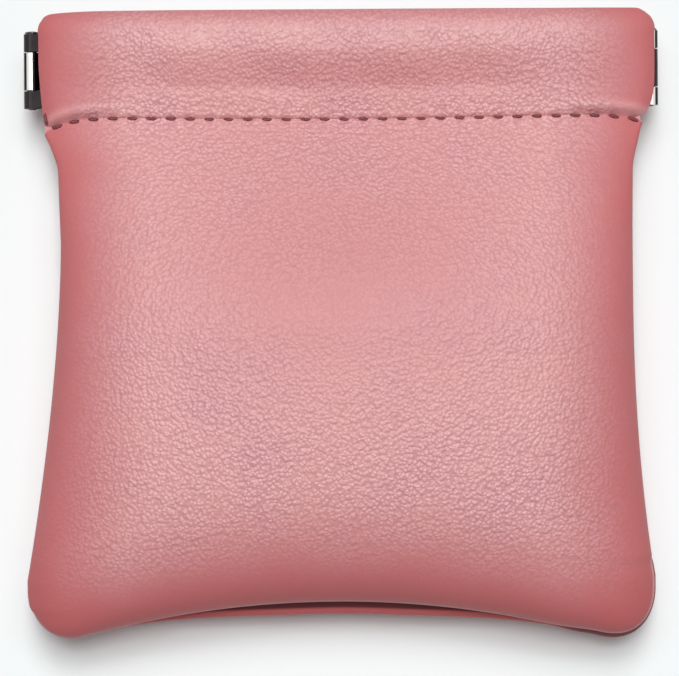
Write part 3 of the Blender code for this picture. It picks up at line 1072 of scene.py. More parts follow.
    def bottom_y(self, u: np.ndarray, face: Face) -> np.ndarray:
        """Y of the bottom edge, lowest near the right corner.

        The arch is set down so that its lowest point lies at the bottom. The back panel shows a lip in
        the middle, and the front is drawn up at the right corner.
        """
        fine = np.linspace(-1.0, 1.0, self.arch_points)
        lowest = self.arch(fine * self.outline(fine, "corner"), fine).min()
        edge = self.arch(u * self.outline(u, "corner"), u) - lowest + self.bottom
        edge = edge - self.bottom_tilt * ease((u + 1.0) / 2)
        if face is Face.FRONT:
            return edge + self.front_pull * self.front_pulled.at(u)
        return edge - self.back_lip * self.lip_across.at(np.abs(u))

    def edge_of(self, t: np.ndarray) -> np.ndarray:
        """Height of the body's widest line over the seam, from the stitch line (0) to the bottom (1)."""
        side = self.pinch + (self.edge_height - self.pinch) * self.edge_swells.at(t)
        return side + (self.foot_height - side) * self.edge_settles.at(t)

    def rise(self, t: np.ndarray, crown: float) -> np.ndarray:
        """Height down the middle: an even climb that levels off at the crown, then a superellipse down."""
        q = np.clip(t / self.crown_place, 0.0, 1.0)
        power = self.climb_power
        climb = (q - q ** (power + 1.0) / (power + 1.0)) * (1.0 + 1.0 / power)
        up = self.pinch + (crown - self.pinch) * climb
        s = np.clip((t - self.crown_place) / (1.0 - self.crown_place), 0.0, 1.0)
        round_end = (1.0 - s**self.end_roundness) ** (1.0 / self.end_roundness)
        return np.where(t < self.crown_place, up, self.foot_height + (crown - self.foot_height) * round_end)

    def seam_out(self, y: np.ndarray, u: np.ndarray) -> np.ndarray:
        """How far the seam's fold stands out of the body's widest line.

        It stands out at the stitch line, is tucked under the bulging sides, and shows again as a thin
        rim along the bottom and round the right corner.
        """
        under = self.tucked.at(self.top - self.hem_depth - y)
        out = self.stand - (self.tuck + self.stand) * under
        low = np.where(u < 0, self.rim_left.at(y), self.rim_right.at(y))
        across = self.outline(u, "corner") * np.abs(u)
        low = np.maximum(low, self.rim_middle.at(across) * (y < self.rim_top))
        return out + (self.rim - out) * low

    def back_share(self, u: np.ndarray, face: Face) -> np.ndarray:
        """How far a place has to do with the back's lip: 1 along the middle of the bottom, 0 at the sides."""
        return self.lip_starts.at(np.abs(u)) if face is Face.BACK else np.zeros_like(u)

    def peek_share(self, loop: np.ndarray, face: Face) -> np.ndarray:
        """How far the back's fold shows past the front's: 1 round the right bottom corner, 0 elsewhere."""
        if face is Face.FRONT:
            return np.zeros(len(loop))
        return self.peek_across.at(loop[:, 0]) * self.peek_down.at(loop[:, 1])

    def peek_out(self, loop: np.ndarray, face: Face) -> np.ndarray:
        """How far the back's fold stands out past the front's, less where it hides again."""
        least = 1.0 - self.hidden_share * self.hidden.at(loop[:, 0])
        return self.peek * least * self.peek_share(loop, face)

    def fold_reach(self, stand: np.ndarray) -> np.ndarray:
        """How far the skin reaches out of the body's widest line: the fold's, or the body's own."""
        return np.maximum(stand + self.skived / 2, self.leather / 2)

    def puckers(self, x: np.ndarray, away: np.ndarray) -> np.ndarray:
        """Height that the thread adds or takes near the stitch line.

        A cosine along the seam, low at each stitch and high between two, under a bell curve across it.
        """
        turn = 2 * math.pi * (x - self.first_stitch) / self.stitch_pitch
        return -self.pucker * np.cos(turn) * bell(away / self.pucker_reach)


@dataclass(frozen=True)
class LeatherTone:
    """How pale and how open the grain is over the panels.

    The filling opens the grain in the middle, where the leather faces the lamps and its tone lays a
    painted pale sheen. Along folds and seams the leather keeps its deep dye and its grain stays tight.

    Attributes:
        shape: the pouch's shape.
        least: the tone at a fold.
        rim: the tone of the seam's crest, a painted highlight.
        lip: the tone of the crest of the back's lip.
        groove: how dark the painted shade in the groove behind the lip is, as a share of the shade colour.
        seam_grain: the grain along the seam.
    """

    shape: PouchShape
    least: float = 0.10
    rim: float = 0.65
    lip: float = 0.05
    groove: float = 0.8
    seam_grain: float = 0.12

    # How far in from its sides the body's painted sheen comes in, more of it low down, by Y, and from its
    # bottom, less of it towards the corners, by X.
    side: float = 13.5
    side_more: float = 3.5
    side_low: Ramp = Ramp(-6.0, -18.0)
    bottom: float = 16.5
    bottom_less: float = 3.0
    bottom_corner: Ramp = Ramp(22.0, 10.0)

    # The body's crown, where the sheen already pales it, so that its own tone is less.
    crown_dip: float = 0.46
    crown_x: Hump = Hump(0.0, 26.0)
    crown_y: Hump = Hump(6.0, 15.0)

    # The hem: the share of the tone that its ends keep at the top edge, and the depth below which they
    # have all of it.
    edge_share: float = 0.42
    edge_depth: Ramp = Ramp(0.0, 3.2)

    # The hem's slant, which faces away from the lamps and is painted deeper in tone as shade, most of all
    # in its middle, by the depth below the top edge and by X.
    slant_dip: float = 0.48
    slant_depth: Hump = Hump(8.5, 3.0)
    slant_least: float = 0.35
    slant_middle: Hump = Hump(3.0, 18.0)

    # Painted light that lifts the shaded slope over the stitch line at the hem's ends, by the distance over
    # it and by X.
    rise: float = 0.60
    rise_over: Hump = Hump(0.9, 0.9)
    rise_ends: Ramp = Ramp(24.0, 8.0)

    # The body's grain: tight by its edges, pressed smooth on the crown, and open low down.
    tight: float = 0.20
    tight_side: Ramp = Ramp(0.0, 9.5)
    tight_bottom: Ramp = Ramp(2.0, 9.0)
    pressed: float = 0.40
    pressed_x: Hump = Hump(1.5, 11.0)
    pressed_y: Hump = Hump(1.5, 9.0)
    opened: float = 0.22
    opened_y: Hump = Hump(-19.0, 11.0)

    # The hem's grain: tight at its ends, where it is pulled over the hinges.
    hem_tight: float = 0.24
    hem_gain: float = 0.86
    hem_ends: Ramp = Ramp(1.5, 7.5)

    def of_body(self, x: np.ndarray, y: np.ndarray, half: np.ndarray, edge: np.ndarray) -> np.ndarray:
        """Tone of the body: smooth steps in from its sides and up from its bottom, less on its crown."""
        side = ease((half - np.abs(x)) / (self.side + self.side_more * self.side_low.at(y)))
        crown = 1.0 - self.crown_dip * self.crown_x.at(x) * self.crown_y.at(y)
        low = ease((y - edge) / (self.bottom - self.bottom_less * self.bottom_corner.at(np.abs(x))))
        return (self.least + (1.0 - self.least) * side * crown) * low

    def of_hem(self, x: np.ndarray, y: np.ndarray, half: np.ndarray) -> np.ndarray:
        """Tone of the hem's outer layer: smooth steps in from each end and down from the top edge."""
        depth = self.shape.top - y
        end = ease((half - np.abs(x)) / self.side)
        end = end * (self.edge_share + (1.0 - self.edge_share) * self.edge_depth.at(depth))
        middle = self.slant_least + (1.0 - self.slant_least) * self.slant_middle.at(x)
        slant = 1.0 - self.slant_dip * self.slant_depth.at(depth) * middle
        rise = self.rise_over.at(y - self.shape.stitch_y(x / half)) * self.rise_ends.at(np.abs(x))
        return np.minimum(self.least + (1.0 - self.least) * end * slant + self.rise * rise, 1.0)

    def body_grain(self, x: np.ndarray, y: np.ndarray, half: np.ndarray, edge: np.ndarray) -> np.ndarray:
        """Grain of the body: tight along its edges and where it is pressed smooth, open low down."""
        inward = self.tight_side.at(half - np.abs(x)) * self.tight_bottom.at(y - edge)
        pressed = self.pressed * self.pressed_x.at(x) * self.pressed_y.at(y)
        return self.tight + (1.0 - self.tight) * inward * (1.0 - pressed + self.opened * self.opened_y.at(y))

    def hem_grain(self, x: np.ndarray, half: np.ndarray) -> np.ndarray:
        """Grain of the hem's outer layer: tight at its ends, where it is pulled over the hinges."""
        return self.hem_tight + self.hem_gain * self.hem_ends.at(half - np.abs(x))


@dataclass
class LeatherPanel:
    """The front or the back panel, with its hem, stuffed body and turned seam.

    Attributes:
        shape: the pouch's shape.
        tones: how pale and open the leather is.
        face: which panel it is.
        grain: the material of its outside.
        flesh: the material of its inside.
        half_columns: columns of the grid from the middle line to one side.
        flap_rows: rows of the flap below the hem.
        inner_rows: rows of the hem's inner layer.
        fold_rows: steps of the fold up to its furthest point.
        crest_rows: rows from there to the ridge.
        hem_rows: rows from the ridge to the stitch line.
        body_rows: steps from the stitch line to the bottom.
        wall_rows: rows from the body's edge to the seam's fold.
        roll_rows: rows round the fold.
        hem_spacing: power that sets the hem's rows closer towards the stitch line.
        body_spacing: power that sets the body's rows closer under the stitch line.
        inset: how the skin draws in under the stitch line, by t, to leave room for the seam's fold.
        pull_share: how hard the body pulls straight down on the seam, as a share of the drop to the fold.
        pull_most: the most that this pull may be.
        least_drop: the least drop from the body to the fold.
        run: places along the seam allowance, as shares of it.
        levels: where along it the allowance comes down to its level.
        meets: where along it the allowance comes in to meet the other panel's.
        groove_from: share of the fold's roll behind which the lip's groove lies.
        groove_rows: rows in which the groove's painted shade comes in.
        pale_rows: rows over the fold in which the painted highlight on its crest comes in.
    """

    shape: PouchShape
    tones: LeatherTone
    face: Face
    grain: bpy.types.Material
    flesh: bpy.types.Material
    half_columns: int = 150
    flap_rows: int = 4
    inner_rows: int = 10
    fold_rows: int = 8
    crest_rows: int = 12
    hem_rows: int = 44
    body_rows: int = 190
    wall_rows: int = 7
    roll_rows: int = 10
    hem_spacing: float = 1.9
    body_spacing: float = 1.3
    inset: Ramp = Ramp(-0.01, 0.04)
    pull_share: float = 0.45
    pull_most: float = 0.7
    least_drop: float = 0.05
    run: tuple[float, ...] = (0.12, 0.3, 0.65, 1.0)
    levels: Ramp = Ramp(0.0, 0.3)
    meets: Ramp = Ramp(0.65, 0.35)
    groove_from: float = 0.7
    groove_rows: float = 1.5
    pale_rows: float = 2.0

    def columns(self) -> np.ndarray:
        """Places across the panel from -1 to 1, as the sine of even steps."""
        return np.sin(np.linspace(-math.pi / 2, math.pi / 2, 2 * self.half_columns + 1))

    def hem(self, u: np.ndarray) -> np.ndarray:
        """Rows from the flap's edge, up inside the mouth, over the fold, and down to the stitch line.

        The fold is a quarter ellipse up from the inner layer and another over to the ridge. From there
        the outer layer follows the hem's profile down to the stitch line, in rows that lie closer as a
        power of their distance to it.

        Args:
            u: places across the panel.

        Returns:
            Points by row and column, as X, Y and height.
        """
        s = self.shape
        turn = np.clip((np.abs(u) - 1.0) / s.top_round + 1.0, 0.0, 1.0)
        top = s.top - s.leather / 2 - s.outline(u, "top_droop") * np.abs(u) ** s.top_droop_power
        top = top - s.top_fall * (1.0 - np.sqrt(1.0 - turn**2))
        stitch = s.stitch_y(u)
        ridge = s.top - s.hem_ridge
        crest = s.hem_height(ridge - stitch, u * s.hem_half(ridge, u))
        apex = (crest + s.inner) / 2
        fold = apex - s.inner
        curled_apex = self.curled(u, top, apex)[:, 2]
        rows = []
        for y in np.linspace(-s.hem_flap, -s.flap_end, self.flap_rows)[:, None] + stitch:
            narrow = s.body_half(y, u) - s.allowance - s.layer_gap
            rows.append(np.stack([u * narrow, y, np.full_like(u, s.inner)], axis=1))
        for share in np.linspace(0.0, 1.0, self.inner_rows):
            y = stitch + s.flap_taper + (top - fold - stitch - s.flap_taper) * share
            rows.append(self.inside(u, y, np.full_like(u, s.inner)))
        for angle in np.linspace(0.0, math.pi / 2, self.fold_rows + 1)[1:-1]:
            y = top - fold * (1.0 - math.sin(angle))
            rows.append(self.inside(u, y, curled_apex - (curled_apex - s.inner) * math.cos(angle)))
        for angle in np.linspace(0.0, math.pi / 2, self.crest_rows + 1)[:-1]:
            y = ridge + (top - ridge) * math.cos(angle)
            rows.append(self.curled(u, y, apex + (crest - apex) * math.sin(angle)))
        for share in np.linspace(1.0, 0.0, self.hem_rows + 1)[:-1] ** self.hem_spacing:
            d = (ridge - stitch) * share
            x = u * s.hem_half(stitch + d, u)
            rows.append(self.curled(u, stitch + d, s.hem_height(d, x)))
        return np.stack(rows)

    def inside(self, u: np.ndarray, y: np.ndarray, height: np.ndarray) -> np.ndarray:
        """A row of the hem's inner layer, as wide as its reach or, where that is less, as the hem."""
        x = u * np.minimum(self.shape.hem_reach, self.shape.hem_half(y, u))
        return np.stack([x, y, height], axis=1)

    def curled(self, u: np.ndarray, y: np.ndarray, height: np.ndarray) -> np.ndarray:
        """A row of the hem's outer layer, whose ends curl down round the hinge as a square of the way."""
        s = self.shape
        x = u * s.hem_half(y, u)
        past = np.clip(1.0 - (s.hem_half(y, u) - np.abs(x)) / s.curl_width, 0.0, 1.0)
        height = np.maximum(height - s.curl_drop * past**2, np.minimum(height, s.pinch))
        return np.stack([x, y, height], axis=1)

    def body(self, u: np.ndarray) -> np.ndarray:
        """Rows from the stitch line down to the body's widest line at the bottom.

        The height is that of the edge, plus the rise down the middle times a superellipse across. The
        back is pressed flat by the table.

        Args:
            u: places across the panel.

        Returns:
            Points by row and column, as X, Y and height.
        """
        s = self.shape
        steps = np.sin(np.linspace(0.0, math.pi / 2, self.body_rows + 1)) ** self.body_spacing
        t = np.broadcast_to(steps[:, None], (len(steps), len(u)))
        stitch = s.stitch_y(u)
        edge = s.bottom_y(u, self.face)
        foot = edge + s.fold_reach(s.seam_out(edge, u))
        y = stitch + (foot - stitch) * t
        inset = s.fold_reach(s.seam_out(y, np.sign(u) * np.ones_like(y))) * self.inset.at(t)
        x = u * (s.body_half(y, u) - inset)
        deepest = s.seam - s.leather / 2
        crown = s.crown - s.leather / 2 if self.face is Face.FRONT else deepest * s.back_fullness
        around = (1.0 - np.abs(u) ** s.side_roundness) ** (1.0 / s.side_roundness)
        height = s.edge_of(t) + (s.rise(t, crown) - s.edge_of(t)) * around
        height = height + (s.gape + s.dip_depth) * s.back_share(u, self.face) * s.lip_falls.at(t)
        if self.face is Face.BACK:
            height = self.pressed(height, deepest)
        return np.stack([x, y, height], axis=2)

    @staticmethod
    def pressed(height: np.ndarray, deepest: float, softness: float = 0.35) -> np.ndarray:
        """The smaller of a height and the deepest one allowed, rounded off where the two meet.

        Where they are less than the softness apart, the square of how near they are, times a quarter of
        the softness, is taken off. An eighth of it is given back everywhere, but no height passes the
        deepest.

        Args:
            height: heights of the back's middle.
            deepest: the height of the table.
            softness: the difference at which the rounding starts.

        Returns:
            The heights of the back as it lies.
        """
        gap = np.clip(1.0 - np.abs(height - deepest) / softness, 0.0, 1.0)
        return np.minimum(np.minimum(height, deepest) - softness * gap**2 / 4.0 + softness / 8.0, deepest)

    def seam(self, loop: np.ndarray, u: np.ndarray) -> np.ndarray:
        """Rows from the body's widest line down and round the seam's fold to the allowance inside.

        Args:
            loop: the body's edge, down the left side and up the right.
            u: the place across for each point of the loop.

        Returns:
            Points by row and place along the loop, without the loop itself.
        """
        s = self.shape
        along = np.gradient(loop[:, :2], axis=0)
        along /= np.linalg.norm(along, axis=1)[:, None]
        out = np.stack([along[:, 1], -along[:, 0]], axis=1)
        stand = s.seam_out(loop[:, 1], u) + s.peek_out(loop, self.face)
        section = self.seam_section(loop[:, 2], stand, s.back_share(u, self.face))
        points = np.empty((len(section), len(loop), 3))
        for row, (away, height) in zip(points, section):
            row[:, :2] = loop[:, :2] + out * away[:, None]
            row[:, 2] = height
        points[:, len(loop) // 2, 0] = 0.0
        return points

    def seam_section(
        self, start: np.ndarray, stand: np.ndarray, lip: np.ndarray
    ) -> list[tuple[np.ndarray, np.ndarray]]:
        """The steps of the seam's section.

        A cubic curve leaves the body straight down and meets the fold's circle in its own direction.
        The circle then turns under, and the allowance runs in and meets the other panel's.

        Args:
            start: the height of the body's edge, for each place along it.
            stand: how far the fold stands out there.
            lip: how far the place has to do with the back's lip.

        Returns:
            For each step, how far out of the edge the seam lies at each place, and its height there.
        """
        s = self.shape
        radius, gape = s.fold_radius, s.gape * lip
        fold_end = -math.pi / 2 - s.dip * lip
        centre_out, centre_height = stand - radius, s.inner + gape + radius
        end_out = centre_out + radius * math.cos(s.fold_start)
        end_height = np.minimum(centre_height + radius * math.sin(s.fold_start), start - self.least_drop)
        pull = np.minimum((start - end_height) * self.pull_share, self.pull_most)
        lead_out = end_out - pull * math.sin(s.fold_start)
        lead_height = end_height + pull * math.cos(s.fold_start)
        steps = []
        for k in np.linspace(0.0, 1.0, self.wall_rows + 1)[1:]:
            w = ((1 - k) ** 3, 3 * k * (1 - k) ** 2, 3 * k * k * (1 - k), k**3)
            height = w[0] * start + w[1] * (start - pull) + w[2] * lead_height + w[3] * end_height
            steps.append((w[2] * lead_out + w[3] * end_out, height))
        for k in np.linspace(0.0, 1.0, self.roll_rows + 1)[1:]:
            angle = s.fold_start + (fold_end - s.fold_start) * k
            steps.append((centre_out + radius * np.cos(angle), centre_height + radius * np.sin(angle)))
        last_out, last_height = steps[-1]
        level = s.inner + gape + s.dip_depth * lip
        for k in self.run:
            height = last_height + (level - last_height) * self.levels.at(k)
            height = height + (s.inner - height) * self.meets.at(k)
            steps.append((last_out - (s.allowance - radius) * k, height))
        return steps

    def stored(
        self, hem: np.ndarray, body: np.ndarray, u: np.ndarray, loop: np.ndarray, places: np.ndarray
    ) -> np.ndarray:
        """The tone and the grain of each point.

        The seam's fold has a painted highlight on its crest. The groove behind the back's lip is painted with
        shade, and so is the back's fold where it shows under the front's at the right corner.

        Args:
            hem: the hem's points by row and column.
            body: the body's points by row and column.
            u: places across the panel.
            loop: the points that the seam starts from.
            places: their places across.

        Returns:
            Two rows of values: the tones, and the grains.
        """
        s, tones = self.shape, self.tones
        half = s.hem_half(hem[..., 1], u)
        tone = [tones.of_hem(hem[..., 0], hem[..., 1], half).ravel()]
        grain = [tones.hem_grain(hem[..., 0], half).ravel()]
        half, edge = s.body_half(body[..., 1], u), s.bottom_y(u, self.face)
        tone.append(tones.of_body(body[..., 0], body[..., 1], half, edge).ravel())
        grain.append(tones.body_grain(body[..., 0], body[..., 1], half, edge).ravel())
        seam_rows = self.wall_rows + self.roll_rows + len(self.run)
        row = np.arange(seam_rows)[:, None] + np.zeros_like(places)
        lip = s.back_share(places, self.face)
        groove = lip * Ramp(self.wall_rows + self.roll_rows * self.groove_from, self.groove_rows).at(row)
        # Painted shade in the groove behind the lip and on the back's fold round the right corner.
        shaded = np.maximum(groove, s.peek_share(loop, self.face) * (row >= self.wall_rows))
        crest = tones.rim * (1.0 - lip) + tones.lip * lip
        pale = crest * Ramp(self.wall_rows - self.pale_rows, self.pale_rows).at(row)
        tone.append((pale * (1.0 - shaded) - shaded * tones.groove).ravel())
        grain.append(np.full(row.size, tones.seam_grain))
        return np.stack([np.concatenate(tone), np.concatenate(grain)])

    def sheet(self) -> tuple[np.ndarray, np.ndarray, np.ndarray, np.ndarray, np.ndarray]:
        """The whole folded sheet, as the middle of the leather.

        Returns:
            The points, the quads, for each quad whether it lies on the left, the leather's thickness at
            each point, and what is stored there.
        """
        s = self.shape
        u = self.columns()
        hem, body = self.hem(u), self.body(u)
        body[:, self.half_columns, 0] = 0.0
        stitch = s.stitch_y(u)
        for rows in (hem[self.flap_rows + self.inner_rows + self.fold_rows - 1 :], body):
            rows[..., 2] += s.puckers(rows[..., 0], rows[..., 1] - stitch)
        grid = np.concatenate([hem, body])
        rows, across = grid.shape[:2]
        numbers = np.arange(rows * across).reshape(rows, across)
        first = len(hem) + 1
        ring = np.concatenate([numbers[first:, 0], numbers[-1, 1:-1], numbers[first:, -1][::-1]])
        places = np.concatenate([np.full(rows - first, -1.0), u[1:-1], np.full(rows - first, 1.0)])
        points = grid.reshape(-1, 3)
        loop = points[ring]
        seam = self.seam(loop, places)
        quads = [grid_quads(rows, across)]
        left = [np.tile(np.arange(across - 1) < self.half_columns, rows - 1)]
        before = ring
        for k in range(len(seam)):
            after = rows * across + k * len(ring) + np.arange(len(ring))
            quads.append(np.stack([before[:-1], after[:-1], after[1:], before[1:]], axis=1))
            left.append(np.arange(len(ring) - 1) < len(ring) // 2)
            before = after
        skived = ease(np.arange(1, len(seam) + 1) / self.wall_rows)
        thick = np.full(rows * across + seam.shape[0] * len(ring), s.leather)
        thick[rows * across :] -= (s.leather - s.skived) * np.repeat(skived, len(ring))
        stored = self.stored(hem, body, u, loop, places)
        points = np.concatenate([points, seam.reshape(-1, 3)])
        points[:, 2] = s.seam + self.face.value * points[:, 2]
        quads = np.concatenate(quads)
        if self.face is Face.BACK:
            quads = quads[:, ::-1]
        return points, quads, np.concatenate(left), thick, stored

    def build(self) -> list[bpy.types.Object]:
        """Make the panel's two halves.

        Returns:
            The left and the right half, each a closed piece of leather.
        """
        points, quads, left, thick, stored = self.sheet()
        normals = point_normals(points, quads)
        half = normals * thick[:, None] / 2
        skins = np.stack([points + half, points - half])
        halves = []
        for side, chosen in ((Side.LEFT, quads[left]), (Side.RIGHT, quads[~left])):
            name = f"{self.face.word}_leather_{side.word}"
            halves.append(self.closed(name, skins, normals, chosen, stored))
        return halves

    def closed(
        self, name: str, skins: np.ndarray, normals: np.ndarray, quads: np.ndarray, stored: np.ndarray
    ) -> bpy.types.Object:
        """Make part of the sheet a closed piece: two skins, and walls round the edge.

        Args:
            name: the piece's name.
            skins: the points of the outer and the inner skin.
            normals: the sheet's normals.
            quads: the part's faces.
            stored: the tone and the grain of each point.

        Returns:
            The closed piece.
        """
        used, numbered = np.unique(quads, return_inverse=True)
        quads = numbered.reshape(quads.shape)
        count = len(used)
        starts = quads.ravel()
        ends = np.roll(quads, -1, axis=1).ravel()
        forward = starts * count + ends
        open_edge = ~np.isin(ends * count + starts, forward)
        a, b = starts[open_edge], ends[open_edge]
        walls = np.stack([b, a, a + count, b + count], axis=1)
        faces = np.concatenate([quads, quads[:, ::-1] + count, walls])
        flat = np.zeros(len(faces), bool)
        flat[2 * len(quads) :] = True
        slots = np.zeros(len(faces), np.int32)
        slots[len(quads) : 2 * len(quads)] = 1
        corners = np.zeros((len(faces), 4, 3))
        outward = normals[used]
        corners[: len(quads)] = outward[quads]
        corners[len(quads) : 2 * len(quads)] = -outward[quads[:, ::-1]]
        values = {key: np.tile(row[used], 2) for key, row in zip((TONE, GRAIN), stored)}
        points = skins[:, used].reshape(-1, 3)
        materials = [self.grain, self.flesh]
        return make_piece(name, points, faces.tolist(), materials, slots, flat, corners, values)


@dataclass
class HemSeam:
    """The row of stitches that closes a hem, with a tack at its left end.

    Attributes:
        shape: the pouch's shape.
        face: the panel whose hem it closes.
        thread: the thread's material.
        radius: the thread's radius.
        tip: its thickness at an end, as a share of its own.
        tip_power: power with which it thins towards its ends.
        length: how much of the thread shows between two holes.
        arch: how far a stitch stands up in its middle.
        hole_dip: how far it dips into a hole.
        hole_power: power with which it does so towards its ends.
        slant: how far a stitch is turned out of the seam's line.
        below: how far it lies under that line.
        step: the stretch over which that line's own fall is measured.
        tack_span: where on the hem's end the tack starts and ends, above the stitch line.
        tack_inset: how far inside the end of the stitch line it starts.
        tack_lean: how far it leans outwards, in millimetres for each millimetre up.
        tack_sink: how far it is drawn into the hem's end.
        tack_stand: how far its middle stands off the leather.
        rings: circles of points along a stitch.
        sides: points round it.
    """

    shape: PouchShape
    face: Face
    thread: bpy.types.Material
    radius: float = 0.27
    tip: float = 0.05
    tip_power: float = 5.0
    length: float = 1.80
    arch: float = 0.14
    hole_dip: float = 0.25
    hole_power: float = 8.0
    slant: float = math.radians(8.0)
    below: float = 0.06
    step: float = 0.5
    tack_span: tuple[float, float] = (0.85, 2.6)
    tack_inset: float = 0.25
    tack_lean: float = 0.2
    tack_sink: float = 0.75
    tack_stand: float = 0.05
    rings: int = 9
    sides: int = 8

    def thread_along(self, path: np.ndarray) -> tuple[np.ndarray, np.ndarray, list[np.ndarray]]:
        """A circle swept along a path that runs nearly level, closed to a point at both ends.

        Args:
            path: X, Y and height of the thread's middle, from end to end.

        Returns:
            Its points, its quads and its two caps.
        """
        count = len(path)
        share = np.linspace(-1.0, 1.0, count)
        thick = self.radius * np.sqrt(np.maximum(1.0 - np.abs(share) ** self.tip_power, self.tip**2))
        along = path[-1, :2] - path[0, :2]
        aside = np.array([-along[1], along[0]]) / np.linalg.norm(along)
        turn = np.linspace(0.0, 2 * math.pi, self.sides, endpoint=False)
        points = np.repeat(path[:, None, :], self.sides, axis=1)
        points[..., :2] += (thick[:, None] * np.cos(turn))[..., None] * aside
        points[..., 2] += thick[:, None] * np.sin(turn)
        points[..., 2] = self.shape.seam + self.face.value * points[..., 2]
        quads = grid_quads(count, self.sides + 1)
        row, column = quads // (self.sides + 1), quads % (self.sides + 1) % self.sides
        caps = [np.arange(self.sides), np.arange(self.sides)[::-1] + (count - 1) * self.sides]
        return points.reshape(-1, 3), row * self.sides + column, caps

    def stitch(self, x: float) -> np.ndarray:
        """The path of one stitch: a flat arch along the seam, which dips into its holes.

        Args:
            x: where the stitch's middle lies along the seam.

        Returns:
            X, Y and height along it.
        """
        s = self.shape
        share = np.linspace(-1.0, 1.0, self.rings)
        across = x + self.length / 2 * share * math.cos(self.slant)
        middle, beside = s.stitch_y(np.array([x, x + self.step]) / self.half_width(x))
        tilt = math.tan(self.slant) + (middle - beside) / self.step
        y = middle - self.below - (across - x) * tilt
        skin = s.pinch + s.leather / 2 - s.pucker
        height = skin + self.arch * (1.0 - share**2) - self.hole_dip * np.abs(share) ** self.hole_power
        return np.stack([across, y, height], axis=1)

    def tack(self) -> np.ndarray:
        """The path of the tack at the seam's left end, which climbs the hem's end from the stitch line.

        Returns:
            X, Y and height along it.
        """
        s = self.shape
        d = np.linspace(*self.tack_span, self.rings)
        x = self.tack_inset - s.left.stitch - self.tack_lean * (d - d[0])
        skin = np.maximum(s.hem_height(d, x) - self.tack_sink, s.pinch) + s.leather / 2
        height = skin + self.tack_stand
        return np.stack([x, s.stitch_y(np.array([-1.0])) + d, height], axis=1)

    def half_width(self, x: float) -> float:
        """Half width of the stitch line on the side of a place."""
        return self.shape.left.stitch if x < 0 else self.shape.right.stitch

    def build(self) -> list[bpy.types.Object]:
        """Make the seam's left and right rows.

        Returns:
            One piece for each side.
        """
        s = self.shape
        places = np.append(s.first_stitch + s.stitch_pitch * np.arange(s.stitch_count), s.end_stitches)
        rows = []
        for side in Side:
            paths = [self.stitch(float(x)) for x in places if (x < 0) == (side is Side.LEFT)]
            if side is Side.LEFT:
                paths.append(self.tack())
            points, faces, offset = [], [], 0
            for stitch_points, quads, caps in map(self.thread_along, paths):
                points.append(stitch_points)
                faces += (quads + offset).tolist() + [(cap + offset).tolist() for cap in caps]
                offset += len(stitch_points)
            name = f"{self.face.word}_hem_stitches_{side.word}"
            row = make_piece(name, np.concatenate(points), faces, [self.thread])
            turn_outward(row.data)
            rows.append(row)
        return rows


@dataclass
class SpringFrame:
    """The sprung steel frame in the hems: two strips that bend, four hinge ends and two pins.

    Attributes:
        front_metal: the material of the front's hinge ends.
        back_metal: the material of the back's.
        strip_metal: the material of the strips.
        pin_metal: the material of the pins.
        bend_length: how far from the middle of the mouth a strip is free to bend.
        bends: how many stretches that length is cut into.
        reach: a distance past the strip's end, where its tongue's cut stops.
        weld: points of the frame's strip that lie closer than this are made one.
    """

    front_metal: bpy.types.Material
    back_metal: bpy.types.Material
    strip_metal: bpy.types.Material
    pin_metal: bpy.types.Material
    bend_length: float = 35.2
    bends: int = 12
    reach: float = 45.0
    weld: float = 0.001

    def dress_hinges(self) -> None:
        """Give the frame's own hinge ends and pins their metal."""
        for side in Side:
            self.dress(f"front_{side.word}_hinge_end", self.front_metal)
            self.dress(f"back_{side.word}_hinge_end", self.back_metal)
            self.dress(f"{side.word}_hinge_pin", self.pin_metal)

    @staticmethod
    def dress(node: str, metal: bpy.types.Material) -> None:
        """Put a material on a node of the frame."""
        mesh = bpy.data.objects[node].data
        mesh.materials.clear()
        mesh.materials.append(metal)

    def spring(self, face: Face, side: Side) -> bpy.types.Object:
        """The half of a strip that bends, cut across every few millimetres, up to its hinge end."""
        places = np.linspace(0.0, self.bend_length, self.bends + 1)
        return self.stretch(f"{face.word}_strip_{side.word}", face, side, places)

    def tongue(self, face: Face, side: Side) -> bpy.types.Object:
        """The end of a strip that is held in the hinge end's sleeve and turns with it."""
        places = np.array([self.bend_length, self.reach])
        return self.stretch(f"{face.word}_strip_{side.word}_tongue", face, side, places)

    def stretch(self, name: str, face: Face, side: Side, places: np.ndarray) -> bpy.types.Object:
        """A stretch of a spring strip, cut from the frame's own so that its stake holes stay in place.

        Args:
            name: the piece's name.
            face: the hem that it lies in.
            side: the half of the mouth.
            places: distances from the middle of the mouth at which it is cut across. What lies outside
                the first and the last is taken away.

        Returns:
            The piece, closed where it is cut.
        """
        whole = bmesh.new()
        whole.from_mesh(bpy.data.objects[f"{face.word}_strip"].data)
        bmesh.ops.remove_doubles(whole, verts=whole.verts, dist=self.weld * MM)
        cuts = places.tolist()
        for place in cuts:
            first, last = place == cuts[0], place == cuts[-1]
            cut = bmesh.ops.bisect_plane(
                whole,
                geom=whole.verts[:] + whole.edges[:] + whole.faces[:],
                plane_co=(place * side.value * MM, 0, 0),
                plane_no=(side.value, 0, 0),
                clear_inner=first,
                clear_outer=last,
            )
            edges = [e for e in cut["geom_cut"] if isinstance(e, bmesh.types.BMEdge)]
            if edges and (first or last):
                bmesh.ops.holes_fill(whole, edges=edges)
        bmesh.ops.recalc_face_normals(whole, faces=whole.faces)
        mesh = bpy.data.meshes.new(name)
        whole.to_mesh(mesh)
        whole.free()
        mesh.materials.append(self.strip_metal)
        return put_in_scene(name, mesh)


